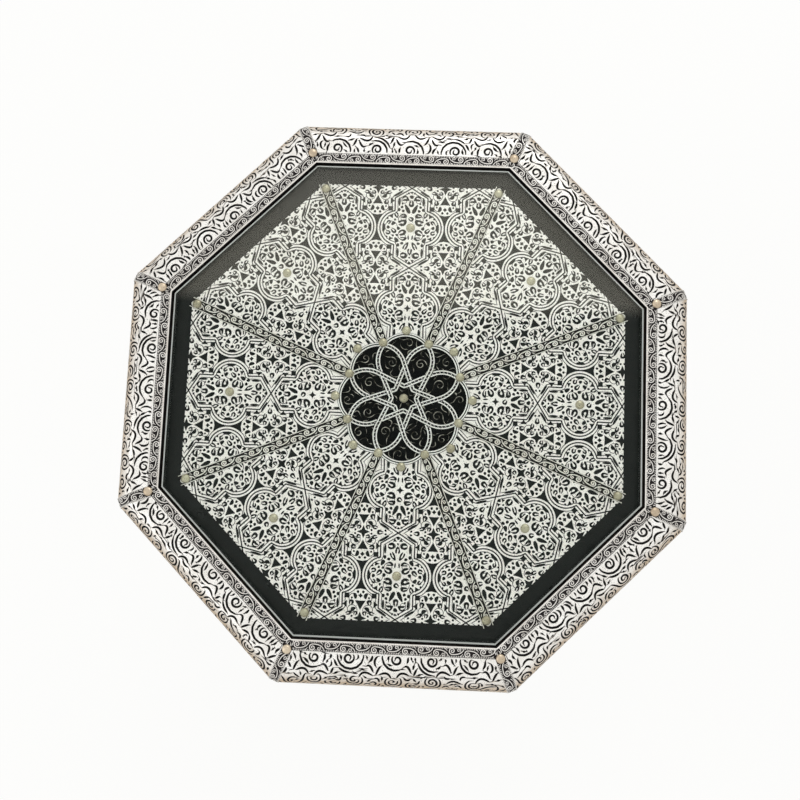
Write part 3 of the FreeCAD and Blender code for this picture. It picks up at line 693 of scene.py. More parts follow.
class Engraving:
    """Strokes that keep their distance from each other, on a grid that remembers what is taken."""
    CELL = 0.4

    def __init__(self, low_corner, high_corner, free, spacing, width, seed, leaves=5):
        self.low, self.spacing, self.width, self.leaves = np.array(low_corner, float), spacing, width, leaves
        size = ((np.array(high_corner) - self.low) / self.CELL).astype(int) + 2
        self.grid = grid_of(*[np.arange(n) for n in size]) * self.CELL + self.low
        self.taken = ~free(self.grid.reshape(-1, 2)).reshape(size)
        self.field = np.zeros(self.grid.shape)
        self.strokes = []
        self.random = np.random.default_rng(seed)

    def cell(self, spot):
        return tuple(((spot - self.low) / self.CELL).astype(int))

    def open_at(self, spot):
        i, j = self.cell(spot)
        return 0 <= i < self.taken.shape[0] and 0 <= j < self.taken.shape[1] and not self.taken[i, j]

    def take(self, spots, reach):
        """Marks the cells near a line."""
        cells = int(reach / self.CELL) + 1
        for spot in spots:
            i, j = (slice(max(at - cells, 0), max(at + cells + 1, 0)) for at in self.cell(spot))
            self.taken[i, j] |= np.linalg.norm(self.grid[i, j] - spot, axis=-1) < reach

    def swirl(self, centre, radius, hand):
        """Adds a whirl to the field that the filling strokes follow."""
        offset = self.grid - centre
        gap = np.linalg.norm(offset, axis=-1)
        weight = np.exp(-(gap / radius) ** 2 / 2)[..., None]
        around = np.stack([-offset[..., 1], offset[..., 0]], axis=-1) * hand + 0.3 * offset
        self.field += weight * around / np.maximum(gap, 0.5)[..., None]

    def draw(self, line):
        """Adds the parts of a line that lie on open ground."""
        line = resampled(line, 0.8)
        found = runs(line, [self.open_at(spot) for spot in line], 3)
        self.strokes += [engraved(resampled(run, 1.2), self.width) for run in found]
        for run in found:
            self.take(run, self.spacing)

    def curl(self, centre, radius, hand, begin):
        """A wound scroll, its stem, and hooked leaves that part from its outer side."""
        line = spiral(centre, radius, EYE, begin, (radius - EYE) / WOUND, hand)
        angle = math.radians(begin)
        out = unit(angle)
        way = left(out) * hand
        rim = line[0]
        root = rim - way * radius * 1.5 + out * radius * 0.7
        stem = bezier(root, rim - way * radius, rim - way * 2, rim, 9)
        self.draw(np.vstack([stem[:-1], line]))
        for index in range(self.leaves):
            out = unit(angle + hand * (0.9 + index * 1.2))
            way = left(out) * hand
            start = centre + out * (radius + self.spacing) - way
            tip = start + way * 3.5 + out * 4.5
            self.draw(bezier(start, start + way * 3, start + way * 5.5 + out * 1.5, tip, 8))
        self.swirl(centre, radius * 1.2, hand)

    def arch(self, centre, radius, side):
        """A round arch over a small hook between two leaves, doubled along one of its sides."""
        self.draw(spiral(centre, radius, radius * 0.97, 200 if side > 0 else -20, 0.58, -side))
        self.draw(spiral(centre, radius + self.spacing * 1.1, radius + self.spacing, 90, 0.2, -side))
        eye = centre + radius * np.array([0.12 * side, 0.2])
        self.draw(spiral(eye, 0.46 * radius, 0.14 * radius, 250, 1.3, -side))
        for share in (-1, 1):
            start = centre + radius * np.array([0.7 * share, -0.45])
            bends = [start + [share * 0.8, 3], start + [-share, 6], start + [-share * 3.5, 5.5]]
            self.draw(bezier(start, *bends, 7))
        self.swirl(centre, radius * 1.1, -side)

    def fan(self, root, spread, length, count):
        """Curved strokes that part downwards from a root like the rays of a palm leaf, middle ones first."""
        for index in sorted(range(count), key=lambda i: abs(i - (count - 1) / 2)):
            share = index / (count - 1) - 0.5
            way = unit(spread * share - math.pi / 2)
            bow = left(way) * (share + math.copysign(0.22, share)) * length
            start = root + way * 2.4
            self.draw(bezier(start, start + way * length * 0.45, start + way * length * 0.95 + bow * 0.1,
                             start + way * length * 0.8 + bow, 10))

    def fill(self, tries, longest, bend):
        """Comma strokes along the field, wherever there is room: bend is how far they turn at each step."""
        high_corner = self.low + np.array(self.taken.shape) * self.CELL
        for _ in range(tries):
            seed = self.low + self.random.random(2) * (high_corner - self.low)
            if not self.open_at(seed):
                continue
            hook = bend * self.random.choice([-1, 1])
            line = self.follow(seed, 1, longest, hook)[::-1] + [seed] + self.follow(seed, -1, longest, hook)
            if len(line) > 5:
                line = resampled(np.array(line), 1.2)
                self.strokes.append(engraved(line, self.width * (0.8 + 0.3 * self.random.random())))
                self.take(resampled(line, 0.6), self.spacing)

    def follow(self, spot, way, longest, hook):
        """Points from a spot along the field, or against it where way is -1."""
        spots, bend, pace = [], 0.0, 0.6
        for _ in range(int(longest / 2 / pace)):
            direction = self.field[self.cell(spot)]
            size = math.hypot(*direction)
            if size < 1e-6:
                break
            bend += hook * way
            step = direction / size * way * pace
            c, s = math.cos(bend), math.sin(bend)
            spot = spot + np.array([step[0] * c - step[1] * s, step[0] * s + step[1] * c])
            if not self.open_at(spot):
                break
            spots.append(spot)
        return spots


# Rows of scrolls on a rail: how far out each lies, their radius, and its shift as a share of the pitch.
SCROLL_PITCH = 34.0
SCROLL_ROWS = [(32.5, 8.0, 0.0), (36.5, 7.4, 0.5), (52, 8.4, 0.25), (54, 7.6, 0.75), (69, 6.8, 0.05),
               (70, 7.0, 0.55)]


def rail_strokes(flat_length, arc_length, half_at, seed):
    """The rinceau on one rail: y runs from the border strip out over the edge and under it."""
    near, far = STRIP_WIDTH + 0.2, flat_length + arc_length - 2

    def free(spots):
        return (spots[:, 1] > near) & (spots[:, 1] < far) & (np.abs(spots[:, 0]) < half_at(spots[:, 1]) - 1.2)

    work = Engraving((-102, near), (102, far), free, SPACING, LINE, seed)
    for column in range(-3, 4):
        x = column * SCROLL_PITCH + work.random.normal() * 1.2
        side = 1 if column % 2 else -1
        work.arch(np.array([x, 10.5 + work.random.random()]), 10.6 + work.random.random(), side)
        work.fan(np.array([x + SCROLL_PITCH / 2, 27 + work.random.normal() * 1.5]), 2.0, 11, 4)
    for row, (y, radius, shift) in enumerate(SCROLL_ROWS):
        for column in range(-4, 4):
            centre = np.array([(column + shift) * SCROLL_PITCH, y]) + work.random.normal(size=2) * 0.8
            if abs(centre[0]) < 96:
                hand = 1 if (column + row) % 2 else -1
                size = radius * (0.92 + 0.16 * work.random.random())
                work.curl(centre, size, hand, work.random.random() * 360)
    work.fill(5000, 11, 0.09)
    work.spacing *= CLOSER
    work.fill(8000, 6.5, 0.13)
    return work.strokes


def make_covers():
    """Engraved sheet over each rail, from under the border strip round to its underside, in four patterns."""
    radius, centre = ROUND + COVER, RAIL_FACE - ROUND
    flat_length = centre - OPENING
    arc_length = math.pi * radius
    place = round_path(OPENING, flat_length, centre, radius, RAIL_MIDDLE)
    trim = (CORNER_WIDTH / 2 - 0.35) / COS

    def half_at(y):
        angle = np.clip((y - flat_length) / radius, 0, math.pi)
        out = np.where(y < flat_length, OPENING + y, centre + radius * np.sin(angle))
        return out * TAN - trim

    steps = np.append(flat_length, flat_length + arc_length * np.arange(1, 31) / 30)
    lines = [np.array([(-half_at(y), y), (half_at(y), y)]) for y in steps]
    edge = np.array([0, *steps, flat_length + arc_length + COVER_RETURN])
    right = np.stack([half_at(edge), edge], axis=1)
    outline = np.vstack([right, mirrored(right)])
    parts = [relief(outline, rail_strokes(flat_length, arc_length, half_at, seed), place, COVER, lines=lines)
             for seed in (3, 8, 21, 34)]
    for side in range(SIDES):
        piece_on(side, "rail_sheet", parts[side * 3 % len(parts)], SILVER,
                 replaces=["rail_covers"] if side == 0 else ())


# Round and eight-sided pieces.
def lathe(profile, count, start=0.0):
    """A ring of points for each radius and height of a profile, and the faces between the rings."""
    angles = start + np.arange(count) * math.tau / count
    rings = [np.column_stack([reach * np.cos(angles), reach * np.sin(angles), np.full(count, level)])
             for reach, level in profile]
    faces = []
    for ring in range(len(profile) - 1):
        for i in range(count):
            a, b = ring * count + i, ring * count + (i + 1) % count
            faces.append((a, b, b + count, a + count))
    return np.vstack(rings), faces


def dome(radius, height, segments=28, rings=7):
    """A domed head with a thin upright rim, standing on z = 0."""
    rim = height * 0.22
    rises = [math.pi / 2 * ring / rings for ring in range(1, rings)]
    profile = [(radius, 0), (radius, rim)]
    profile += [(radius * math.cos(rise), rim + (height - rim) * math.sin(rise)) for rise in rises]
    spots, faces = lathe(profile, segments)
    last, crown = len(spots) - segments, len(spots)
    faces += [(last + i, last + (i + 1) % segments, crown) for i in range(segments)]
    faces.append(tuple(range(segments))[::-1])
    return np.vstack([spots, [(0, 0, height)]]), faces, np.ones(crown + 1)


def nail_at(reach, level, angle=0.0):
    spots, faces, tones = dome(NAIL_RADIUS, NAIL_HEIGHT)
    return turned(spots + [reach, 0, level], angle), faces, tones


def make_nails():
    seat = max(STRIP_TOP, STRAP_TOP)
    rings = [(END_NAIL, seat, HALF), (CUSP, seat, HALF), (LOBE_NAIL, seat, 0), (MEDALLION, PANEL_TOP, 0)]
    parts = [nail_at(reach, level, start + side * TURN)
             for reach, level, start in rings for side in range(SIDES)]
    parts.append(nail_at(0, INLAY_TOP))
    new_piece("field_nail_heads", joined(*parts), NAIL, replaces=["field_nails"])
    parts = all_round(nail_at(FRAME_NAIL, TOP), HALF)
    new_piece("frame_nail_heads", parts, FRAME_NAIL_METAL, replaces=["frame_nails"])


# Pierced panels. Places are in the frame of one repeat: x across the panel and y outwards from its nail.
CELL_WIDTH, CELL_HEIGHT = 61.4, 74.4
STRAP_BULGE, STRAP_BULGE_X, STRAP_EDGE = 16.0, 11.9, 2.6
# Wider openings than this have a tongue.
TONGUED = 3.5
# Openings grow by these steps, until the bars between them, and beside a strap's line, are this narrow.
BAR, STRAP_BAR, GROWTH, GROWTH_STEPS = 1.1, 2.3, 0.15, 26
# Radius of the drops that fill what is left, and the room that they and the holes leave round the nails.
SMALLEST, LARGEST = 0.8, 2.1
FILL_NAIL_ROOM, NAIL_ROOM = 5.4, 3.6
# Rounded openings: x, y, length, width, turn in degrees, bend, taper. All but those on x = 0 are mirrored.
UPPER = [
    (5.6, 27.0, 4.8, 2.9, 0, -0.55, 0), (0, 23.1, 5.6, 2.9, 90, 0, 0.5), (10.9, 24.6, 8.4, 2.2, 90, 0, 0),
    (11.0, 17.0, 3.1, 2.6, 90, 0, 0), (3.6, 17.8, 9.0, 2.4, 63, 0, 0.4), (7.0, 11.0, 6.4, 4.0, 0, -0.25, 0.2),
    (13.1, 11.7, 5.8, 3.7, 70, 0, -0.4), (7.7, 5.0, 5.8, 3.3, -15, 0.35, 0), (20.0, 5.1, 4.3, 3.7, -50, 0, 0),
    (15.8, 3.9, 4.5, 3.1, -35, -0.3, 0), (24.6, 0, 8.8, 3.0, 90, -0.35, 0),
    (15.5, -2.5, 5.8, 3.4, 45, 0, 0.3),
    (20.3, -4.6, 4.1, 3.6, 20, 0, 0),
]
LOWER = [
    (7.5, -4.4, 5.3, 3.5, -20, 0, 0), (6.3, -9.9, 6.6, 3.8, 0, 0.5, 0), (1.8, -9.0, 4.6, 1.5, 85, 0, 0),
    (12.7, -11.2, 5.5, 3.4, 58, 0, 0.4), (10.9, -16.1, 3.5, 2.6, 90, 0, 0),
    (3.8, -16.9, 7.4, 2.7, -60, 0, -0.3),
    (10.9, -23.0, 8.3, 2.2, 90, 0, 0), (0, -22.3, 6.0, 3.3, 90, 0, -0.5), (5.5, -25.5, 4.6, 3.8, 0, 0.2, 0),
]
BETWEEN = [
    (6.0, 7.4, 5.6, 3.3, -42, -0.7, 0), (10.0, 4.4, 5.8, 3.6, -20, 0.3, 0),
    (4.8, 19.0, 5.6, 3.2, 72, -0.5, 0),
    (18.6, 5.3, 10.4, 2.2, -29, 0, 0.3), (14.9, 0, 4.5, 2.6, 0, 0, 0.5),
]
# Pointed openings: x, y, size across, size outwards, corners, turn in degrees, bow.
UPPER_POINTS = [(2.9, 32.4, 3.6, 3.2, 3, 90, 0.1), (17.9, 11.0, 6.4, 5.6, 3, 0, 0.1)]
LOWER_POINTS = [(17.9, -10.0, 5.8, 4.6, 3, 180, 0.1), (2.7, -30.6, 4.2, 4.4, 3, -90, 0.1)]
BETWEEN_POINTS = [
    (0, 0, 8.6, 8.4, 4, 0, 0.42), (0, 12.4, 7.6, 7.6, 3, -90, 0.08), (0, 19.3, 4.2, 4.2, 4, 0, 0.1),
    (0, 27.6, 10.2, 10.4, 3, 90, 0.34), (11.9, 19.3, 6.4, 6.4, 4, 45, 0.08),
    (12.9, 11.9, 5.4, 7.6, 3, 0, 0.1),
]
# Curls engraved round the openings: x, y, outer and inner radius, start in degrees, turns, hand.
CURLS = [
    (7.2, 8.3, 5.0, 1.5, 250, 1.3, 1), (7.2, -7.6, 5.0, 1.5, 110, 1.3, -1),
    (18.3, 0.4, 6.6, 4.4, 200, 0.8, -1),
    (6.1, 25.3, 4.3, 1.4, 200, 1.2, -1), (5.6, -25.2, 4.0, 1.4, 160, 1.2, 1),
]
BETWEEN_CURLS = [
    (7.4, 7.0, 5.2, 1.4, 200, 1.3, -1), (7.4, -7.0, 5.2, 1.4, 160, 1.3, 1),
    (6.0, 17.6, 4.6, 2.9, 280, 0.7, 1),
    (6.0, -17.6, 4.6, 2.9, 80, 0.7, -1),
]


def tongue():
    """A horseshoe round a comma that reaches in from one side, on a circle of radius one."""
    outer = np.linspace(0.36, math.tau - 0.36, 15)
    tip = np.linspace(math.tau - 0.9, 0.9, 8)
    neck = np.array([(0.6, -0.2), (0.7, 0.08)])
    curl = np.stack([0.31 * np.cos(tip) - 0.02, 0.31 * np.sin(tip) + 0.1], axis=1)
    return np.vstack([np.stack([np.cos(outer), np.sin(outer)], axis=1), neck[:1], curl, neck[1:]])


def rounded(x, y, length, width, turn, bend, taper):
    """An oval opening, bent like a bean or drawn out to a drop. A wide one is a horseshoe."""
    t = np.linspace(0, math.tau, 12, endpoint=False)
    rim = tongue() if width > TONGUED else np.stack([np.cos(t), np.sin(t)], axis=1)
    along = rim[:, 0]
    across = rim[:, 1] * (1 - taper * along) * width / 2 + bend * (along**2 - 0.5) * width / 2
    along = along * length / 2
    c, s = unit(math.radians(turn))
    return np.stack([x + along * c - across * s, y + along * s + across * c], axis=1)


def pointed(x, y, wide, tall, corners, turn, bow):
    """An opening with sharp corners, whose sides bow inwards."""
    spots = []
    for i in range(corners):
        angle = math.radians(turn) + math.tau * i / corners
        start, end = unit(angle), unit(angle + math.tau / corners)
        middle = (start + end) / 2 * (1 - bow)
        spots += [start, (start + 3 * middle) / 4 + (start - middle) * 0.05, middle, (end + 3 * middle) / 4]
    return np.array(spots) * 0.5 * [wide, tall] + [x, y]


def grown(rounds, points, lines, upside=False):
    """The openings made larger, in steps, as long as each leaves a bar of metal to all that is round it."""
    shapes = [(shape, rounded) for shape in rounds] + [(shape, pointed) for shape in points]
    lines = np.vstack(lines)

    def loops(index):
        shape, make = shapes[index]
        return [resampled(looped(loop), 0.4) for loop in both_ways([shape], make, upside)]

    found = [loops(index) for index in range(len(shapes))]
    for _ in range(GROWTH_STEPS):
        for index, (shape, make) in enumerate(shapes):
            x, y, length, width, *rest = shape
            shapes[index] = ((x, y, length + GROWTH, width + GROWTH, *rest), make)
            trial = loops(index)
            others = [loop for other in found[:index] + found[index + 1:] for loop in other] + trial[1:]
            if gaps(trial[0], np.vstack(others)).min() > BAR and gaps(trial[0], lines).min() > STRAP_BAR:
                found[index] = trial
            else:
                shapes[index] = (shape, make)
    return [[shape for shape, make in shapes if make is kind] for kind in (rounded, pointed)]


def fillers(holes, lines):
    """Drops for one repeat, the largest first, wherever the sheet between the openings is still wide."""
    spots = grid_of(np.arange(0, CELL_WIDTH / 2, 0.4), np.arange(-CELL_HEIGHT / 2, CELL_HEIGHT / 2, 0.4))
    spots = spots.reshape(-1, 2)
    x, y = spots.T
    rims = np.vstack([resampled(looped(hole), 0.8) for hole in holes])
    room = np.minimum(gaps(spots, rims) - BAR, gaps(spots, np.vstack(lines)) - STRAP_BAR)
    room[inside_any(spots, holes)] = 0
    for limit in (np.linalg.norm(spots, axis=1) - FILL_NAIL_ROOM, np.where(x == 0, room, x - BAR / 2),
                  CELL_WIDTH / 2 - x - BAR / 2, CELL_HEIGHT / 2 - np.abs(y) - BAR / 2):
        room = np.minimum(room, limit)
    found = []
    while room.max() > SMALLEST:
        spot = spots[room.argmax()]
        size = min(room.max(), LARGEST)
        found.append((*spot, 2.5 * size, 2.1 * size, math.degrees(math.atan2(*spot[::-1])) + 60, 0, 0.3))
        for side in (-1, 1):
            room = np.minimum(room, np.linalg.norm(spots - spot * [side, 1], axis=1) - size - BAR)
    return found


def mirrored(spots):
    """The mirror image across x = 0, with its winding kept."""
    return (np.asarray(spots) * [-1, 1])[::-1]


def both_ways(shapes, make, upside=False):
    """Every shape, its mirror image across, and with upside also those reversed outwards."""
    found = []
    for shape in shapes:
        spots = make(*shape)
        pair = [spots] if shape[0] == 0 else [spots, mirrored(spots)]
        if upside and shape[1] != 0:
            pair += [np.asarray(p * [1, -1])[::-1] for p in pair]
        found += pair
    return found


def strap_line():
    """The strap round a medallion: its right half, from the crossing above to the crossing below."""
    bend = 14.7
    swing = math.degrees(math.acos((bend - STRAP_BULGE_X) / STRAP_BULGE))
    top = np.array([(0, CELL_HEIGHT / 2), (15.0, 27.9), (bend, STRAP_BULGE * math.sin(math.radians(swing)))])
    bulge = spiral((STRAP_BULGE_X, 0), STRAP_BULGE, STRAP_BULGE, swing, 2 * swing / 360, -1, count=25)
    bottom = (top * [1, -1])[::-1]
    return np.vstack([resampled(top[:2], 1.4)[:-1], resampled(top[1:], 1.4)[:-1], bulge,
                      resampled(bottom[:2], 1.4)[1:], resampled(bottom[1:], 1.4)[1:]])


def panel_holes_and_lines():
    """Openings and grooves of the repeats that reach one panel, with x across and y outwards."""
    strap = strap_line()
    both = [strap, mirrored(strap)]
    straps = [resampled(line, 0.7) for line in both]
    quarter = np.array([CELL_WIDTH, CELL_HEIGHT]) / 2
    corners = [quarter * [x, y] for x in (-1, 1) for y in (-1, 1)]
    rounds, points = grown(UPPER + LOWER, UPPER_POINTS + LOWER_POINTS, straps)
    cell = both_ways(rounds, rounded) + both_ways(points, pointed)
    around = [line + corner for corner in corners for line in straps]
    rounds, points = grown(BETWEEN, BETWEEN_POINTS, around, True)
    gap = both_ways(rounds, rounded, True) + both_ways(points, pointed, True)
    cell += both_ways(fillers(cell + [hole + corner for corner in corners for hole in gap], straps), rounded)
    others = [straps[1], straps[0] + [0, CELL_HEIGHT], straps[0] - [0, CELL_HEIGHT]]
    edges = [run for offset in (-STRAP_EDGE, STRAP_EDGE) for run in beside(strap, others, offset)]
    edges += [mirrored(run) for run in edges]
    curls, gap_curls = [[resampled(line, 1.1) for line in both_ways(table, curl_line)]
                        for table in (CURLS, BETWEEN_CURLS)]
    holes, grooves = [], []
    for column in range(-2, 3):
        for row in (-1, 0, 1):
            middle = np.array([column * CELL_WIDTH, MEDALLION + row * CELL_HEIGHT])
            corner = middle + quarter
            nailed = (column, row) == (0, 0)
            room = NAIL_ROOM if nailed else -1
            holes += [hole + middle for hole in cell if np.linalg.norm(hole, axis=1).min() > room]
            holes += [hole + corner for hole in gap]
            if not nailed:
                holes.append(pointed(0, 0, 7.0, 7.0, 4, 0, 0.35) + middle)
            grooves += [engraved(line + middle, 1.25, 0.3, 1.0) for line in both]
            grooves += [engraved(line + middle, 0.9, 0.3, 0.6) for line in edges]
            small = [line + middle for line in curls] + [line + corner for line in gap_curls]
            grooves += [engraved(line, 0.7, 0.25, 0.6) for line in small]
    return holes, grooves


def beside(line, others, offset):
    """The line moved sideways, wherever it keeps clear of the others."""
    line = resampled(line, 0.7)
    moved = line + offset * left_of(line)
    clear = gaps(moved, np.vstack([line, *others])) > abs(offset) - 0.15
    return [run[::2] for run in runs(moved, clear, 5)]


def curl_line(x, y, *rest):
    return spiral((x, y), *rest)


def panel_outline():
    """One panel, from the rosette's lobe out to the field's edge, with x across and y outwards."""
    gap = 0.2
    near = CUSP * COS + gap
    radius = LOBE_RADIUS + gap
    start = math.atan2(near - LOBE_CENTRE, near * TAN - gap / 2)
    swing = math.pi - 2 * start
    lobe = spiral((0, LOBE_CENTRE), radius, radius, math.degrees(start), swing / math.tau, 1, count=21)
    wide = FIELD * TAN - gap / 2
    return np.vstack([lobe, [(-wide, FIELD), (wide, FIELD)]])


def make_panels():
    """Eight pierced panels of pale sheet."""
    outline = panel_outline()
    holes, grooves = panel_holes_and_lines()
    holes = [hole for hole in holes if inside(hole, outline).any()]
    grooves = [groove for groove in grooves if inside(groove.spots, outline).any()]
    lay = flat_at(PANEL_TOP)
    sheet = PANEL_TOP - BOARD_TOP
    part = relief(outline, grooves, lambda x, y, h: lay(y, -x, h), sheet, holes=holes)
    for side in range(SIDES):
        piece_on(side, "filigree", part, FILIGREE, replaces=[f"wedge_panel_{side + 1}"])


# Rosette.
def cusp_at(radius):
    """Centre to the points where lobes of this radius meet."""
    return LOBE_CENTRE * COS + math.sqrt(radius**2 - (LOBE_CENTRE * math.sin(HALF))**2)


def octofoil(shrink):
    """The rosette's outline, drawn in by shrink."""
    radius = LOBE_RADIUS - shrink
    spread = math.asin(cusp_at(radius) * math.sin(HALF) / radius)
    angles = np.linspace(-spread, spread, 18, endpoint=False)
    lobe = np.stack([LOBE_CENTRE + radius * np.cos(angles), radius * np.sin(angles)], axis=1)
    return np.vstack([turned(lobe, side * TURN) for side in range(SIDES)])


# Each strap runs straight from its bend, at this slope and for this length, and then round to a point.
KINK, SLOPE, RUN = 10.9, math.radians(65), 27.0
STRAP_WIDTH, RING_WIDTH = 4.1, 3.6
RIB_HEIGHT, RIB_FLANK = 0.45, 0.16


def strap_path():
    """One strap's centre line, from a point of the rosette in to its bend and out to another point."""
    turn_in, way = np.array([KINK, 0]), unit(SLOPE)
    run_end = turn_in + RUN * way
    leg = cusp_at(LOBE_RADIUS - RING_WIDTH / 2) * unit(1.5 * TURN) - run_end
    radius = (leg**2).sum() / 2 / (leg[1] * way[0] - leg[0] * way[1])
    swing = 2 * math.asin(np.linalg.norm(leg) / 2 / radius)
    middle = run_end + radius * left(way)
    arc = spiral(middle, radius, radius, math.degrees(SLOPE) - 90, swing / math.tau, 1, 30)
    half = np.vstack([resampled([turn_in, run_end], 0.6)[:-1], resampled(arc, 0.6)])
    return np.vstack([(half * [1, -1])[::-1][:-1], half])


def crossings(path, others):
    """Places along a path where other paths cross it, in order: step along it, and which path."""
    found = []
    start, way = path[:-1], np.diff(path, axis=0)
    for order, other in enumerate(others):
        if other is path:
            continue
        for a, b in zip(other[:-1], other[1:]):
            leg = b - a
            cross = way[:, 0] * leg[1] - way[:, 1] * leg[0]
            cross = np.where(np.abs(cross) < 1e-9, 1e-9, cross)
            gap = a - start
            t = (gap[:, 0] * leg[1] - gap[:, 1] * leg[0]) / cross
            u = (gap[:, 0] * way[:, 1] - gap[:, 1] * way[:, 0]) / cross
            met = np.nonzero((t >= 0) & (t < 1) & (u >= 0) & (u < 1))[0]
            found += [(index + t[index], order) for index in met]
    return sorted(found)


def make_rosette():
    """The black plate, and the interlaced straps of two bright ribs with a dark line between."""
    part = relief(octofoil(0), inlay_strokes(), flat_at(INLAY_TOP), INLAY_TOP - BOARD_TOP)
    new_piece("rosette_plate", part, INLAY, replaces=["rosette_inlay"])

    paths = [turned(strap_path(), order * TURN) for order in range(SIDES)]
    ribs, bodies = [], []
    for path in paths:
        # A strap passes under every other one that it meets, away from its ends.
        under = [item for item in crossings(path, paths) if 6 < item[0] < len(path) - 7][::2]
        bodies.append(Stroke(path, STRAP_WIDTH / 2, 0.0001, 0.1))
        for side in (-1, 1):
            line = path + left_of(path) * side * (STRAP_WIDTH / 2 - 0.66)
            seen = np.ones(len(line), bool)
            for step, order in under:
                away = np.linalg.norm(line - path[int(step)], axis=1) > 9
                seen &= away | (gaps(line, paths[order]) > STRAP_WIDTH / 2 + 0.35)
            ribs += [rib(run[::2], 1.28, RIB_HEIGHT, RIB_FLANK) for run in runs(line, seen, 5)]
    ribs += [rib(looped(octofoil(shrink)), 1.3, RIB_HEIGHT, RIB_FLANK) for shrink in (0.8, RING_WIDTH - 0.68)]
    for body in bodies:
        ribs += twist(body.spots)
    bodies.append(Stroke(looped(octofoil(RING_WIDTH / 2)), RING_WIDTH / 2, 0.0001, 0.1))
    part = lattice_relief(ribs, bodies)
    new_piece("rosette_straps", part, STRAP, replaces=["rosette_lattice"])


def twist(line):
    """Short ribs across a strap's dark line."""
    spots = resampled(line, 3.4)
    found = []
    for spot, after in zip(spots[:-1], spots[1:]):
        way = (after - spot) / np.linalg.norm(after - spot)
        across = left(way) * 0.55
        found.append(rib([spot - across + way * 0.3, spot + across - way * 0.3], 0.55))
    return found


def lattice_relief(ribs, bodies):
    """Only what lies within a strap's width is kept, so the plate shows between."""
    rows = [row for stroke in ribs for row in stroke.rows()]
    rows += [row for body in bodies for row in (body.rows()[0], body.rows()[-1])]
    rim = octofoil(0.1)
    points, triangles = triangulate([rim], rows)
    middles = points[triangles].mean(1)
    within = np.zeros(len(middles), bool)
    for body in bodies:
        within |= gaps(middles, body.spots) < body.half[0] + 0.02
    points, triangles = compact(points, triangles[within & inside(middles, rim)])
    height, tone = levels(points, ribs, 0.0)
    count = len(points)
    face = np.column_stack([points, STRAP_TOP - RIB_HEIGHT + height])
    back = np.column_stack([points, np.full(count, INLAY_TOP)])
    faces = [tuple(t) for t in triangles] + [tuple(t[::-1] + count) for t in triangles]
    faces += [(b, a, a + count, b + count) for a, b in boundary(triangles)]
    return np.vstack([face, back]), faces, np.concatenate([tone, np.zeros(count)])


def inlay_strokes():
    """Faint swirls in the black plate, in three rings."""
    outline = octofoil(4)
    work = Engraving((-60, -60), (60, 60), lambda spots: inside(spots, outline), 2.4, 0.8, 5, leaves=3)
    for ring, (reach, radius) in enumerate([(19, 3.6), (34, 5.0), (50, 4.2)]):
        for side in range(SIDES):
            angle = (side + 0.5 * (ring % 2)) * TURN + work.random.normal() * 0.05
            work.curl(reach * unit(angle), radius, 1 if side % 2 else -1, work.random.random() * 360)
    work.fill(320, 8, 0.05)
    for stroke in work.strokes:
        stroke.rise = -0.2
    return work.strokes


# Glass.
def make_pane():
    """The loose pane, with a bevel ground round its top edge."""
    bevel, arris = 1.7, 0.3
    profile = [(PANE - arris, PANE_FOOT), (PANE, PANE_FOOT + arris), (PANE, PANE_TOP - bevel),
               (PANE - bevel, PANE_TOP)]
    spots, edge_faces = lathe([(reach / COS, level) for reach, level in profile], SIDES, HALF)
    faces = edge_faces + [tuple(range(len(spots) - SIDES, len(spots))), tuple(range(SIDES))[::-1]]
    part = spots, faces, np.ones(len(spots))
    pane = new_piece("pane", part, GLASS, body="glass", replaces=["glass_pane"], smooth=False)
    # The bevel faces get the painted highlight of the glass edge.
    pane.data.materials.append(PANE_EDGE_HIGHLIGHT)
    for index, polygon in enumerate(pane.data.polygons):
        polygon.material_index = 1 if index < len(edge_faces) else 0


# Base. The foot is where the sheets end above the floor, and the clear foot where their patterns do.
JAMB, ARCH_RADIUS, ARCH_SHIFT, ARCH_CENTRE = 40, 58, 10, 250
FOOT, CLEAR_FOOT = 1.5, 12
TRIM = 9.0
SIDE_SHEET = 0.5


def half_arch(offset, foot):
    """The arch's right half, from its foot to its point, moved outwards by offset."""
    reach, radius = JAMB + offset, ARCH_RADIUS + offset
    angles = np.linspace(-math.acos((reach + ARCH_SHIFT) / radius), math.acos(ARCH_SHIFT / radius), 26)
    arc = np.stack([radius * np.cos(angles) - ARCH_SHIFT, radius * np.sin(angles) + ARCH_CENTRE], axis=1)
    return np.vstack([[(reach, foot)], arc])


def whole_arch(offset, foot):
    right = half_arch(offset, foot)
    return np.vstack([right, mirrored(right)[1:]])


def on_side(lift):
    """Lays a pattern on the side that faces +X: x along it and y upwards."""
    return lambda x, y, h: np.stack([BASE + lift + h, x, y], axis=1)


def along(path):
    """Bends a straight strip's pattern to follow a path, with its second coordinate to the left."""
    path = resampled(path, 0.5)
    side, place = left_of(path), run_length(path)

    def bend(spots):
        at = spots[:, 0] + place[-1] / 2
        return np.stack([np.interp(at, place, path[:, i]) + np.interp(at, place, side[:, i]) * spots[:, 1]
                         for i in (0, 1)], axis=1)

    return bend, place[-1]


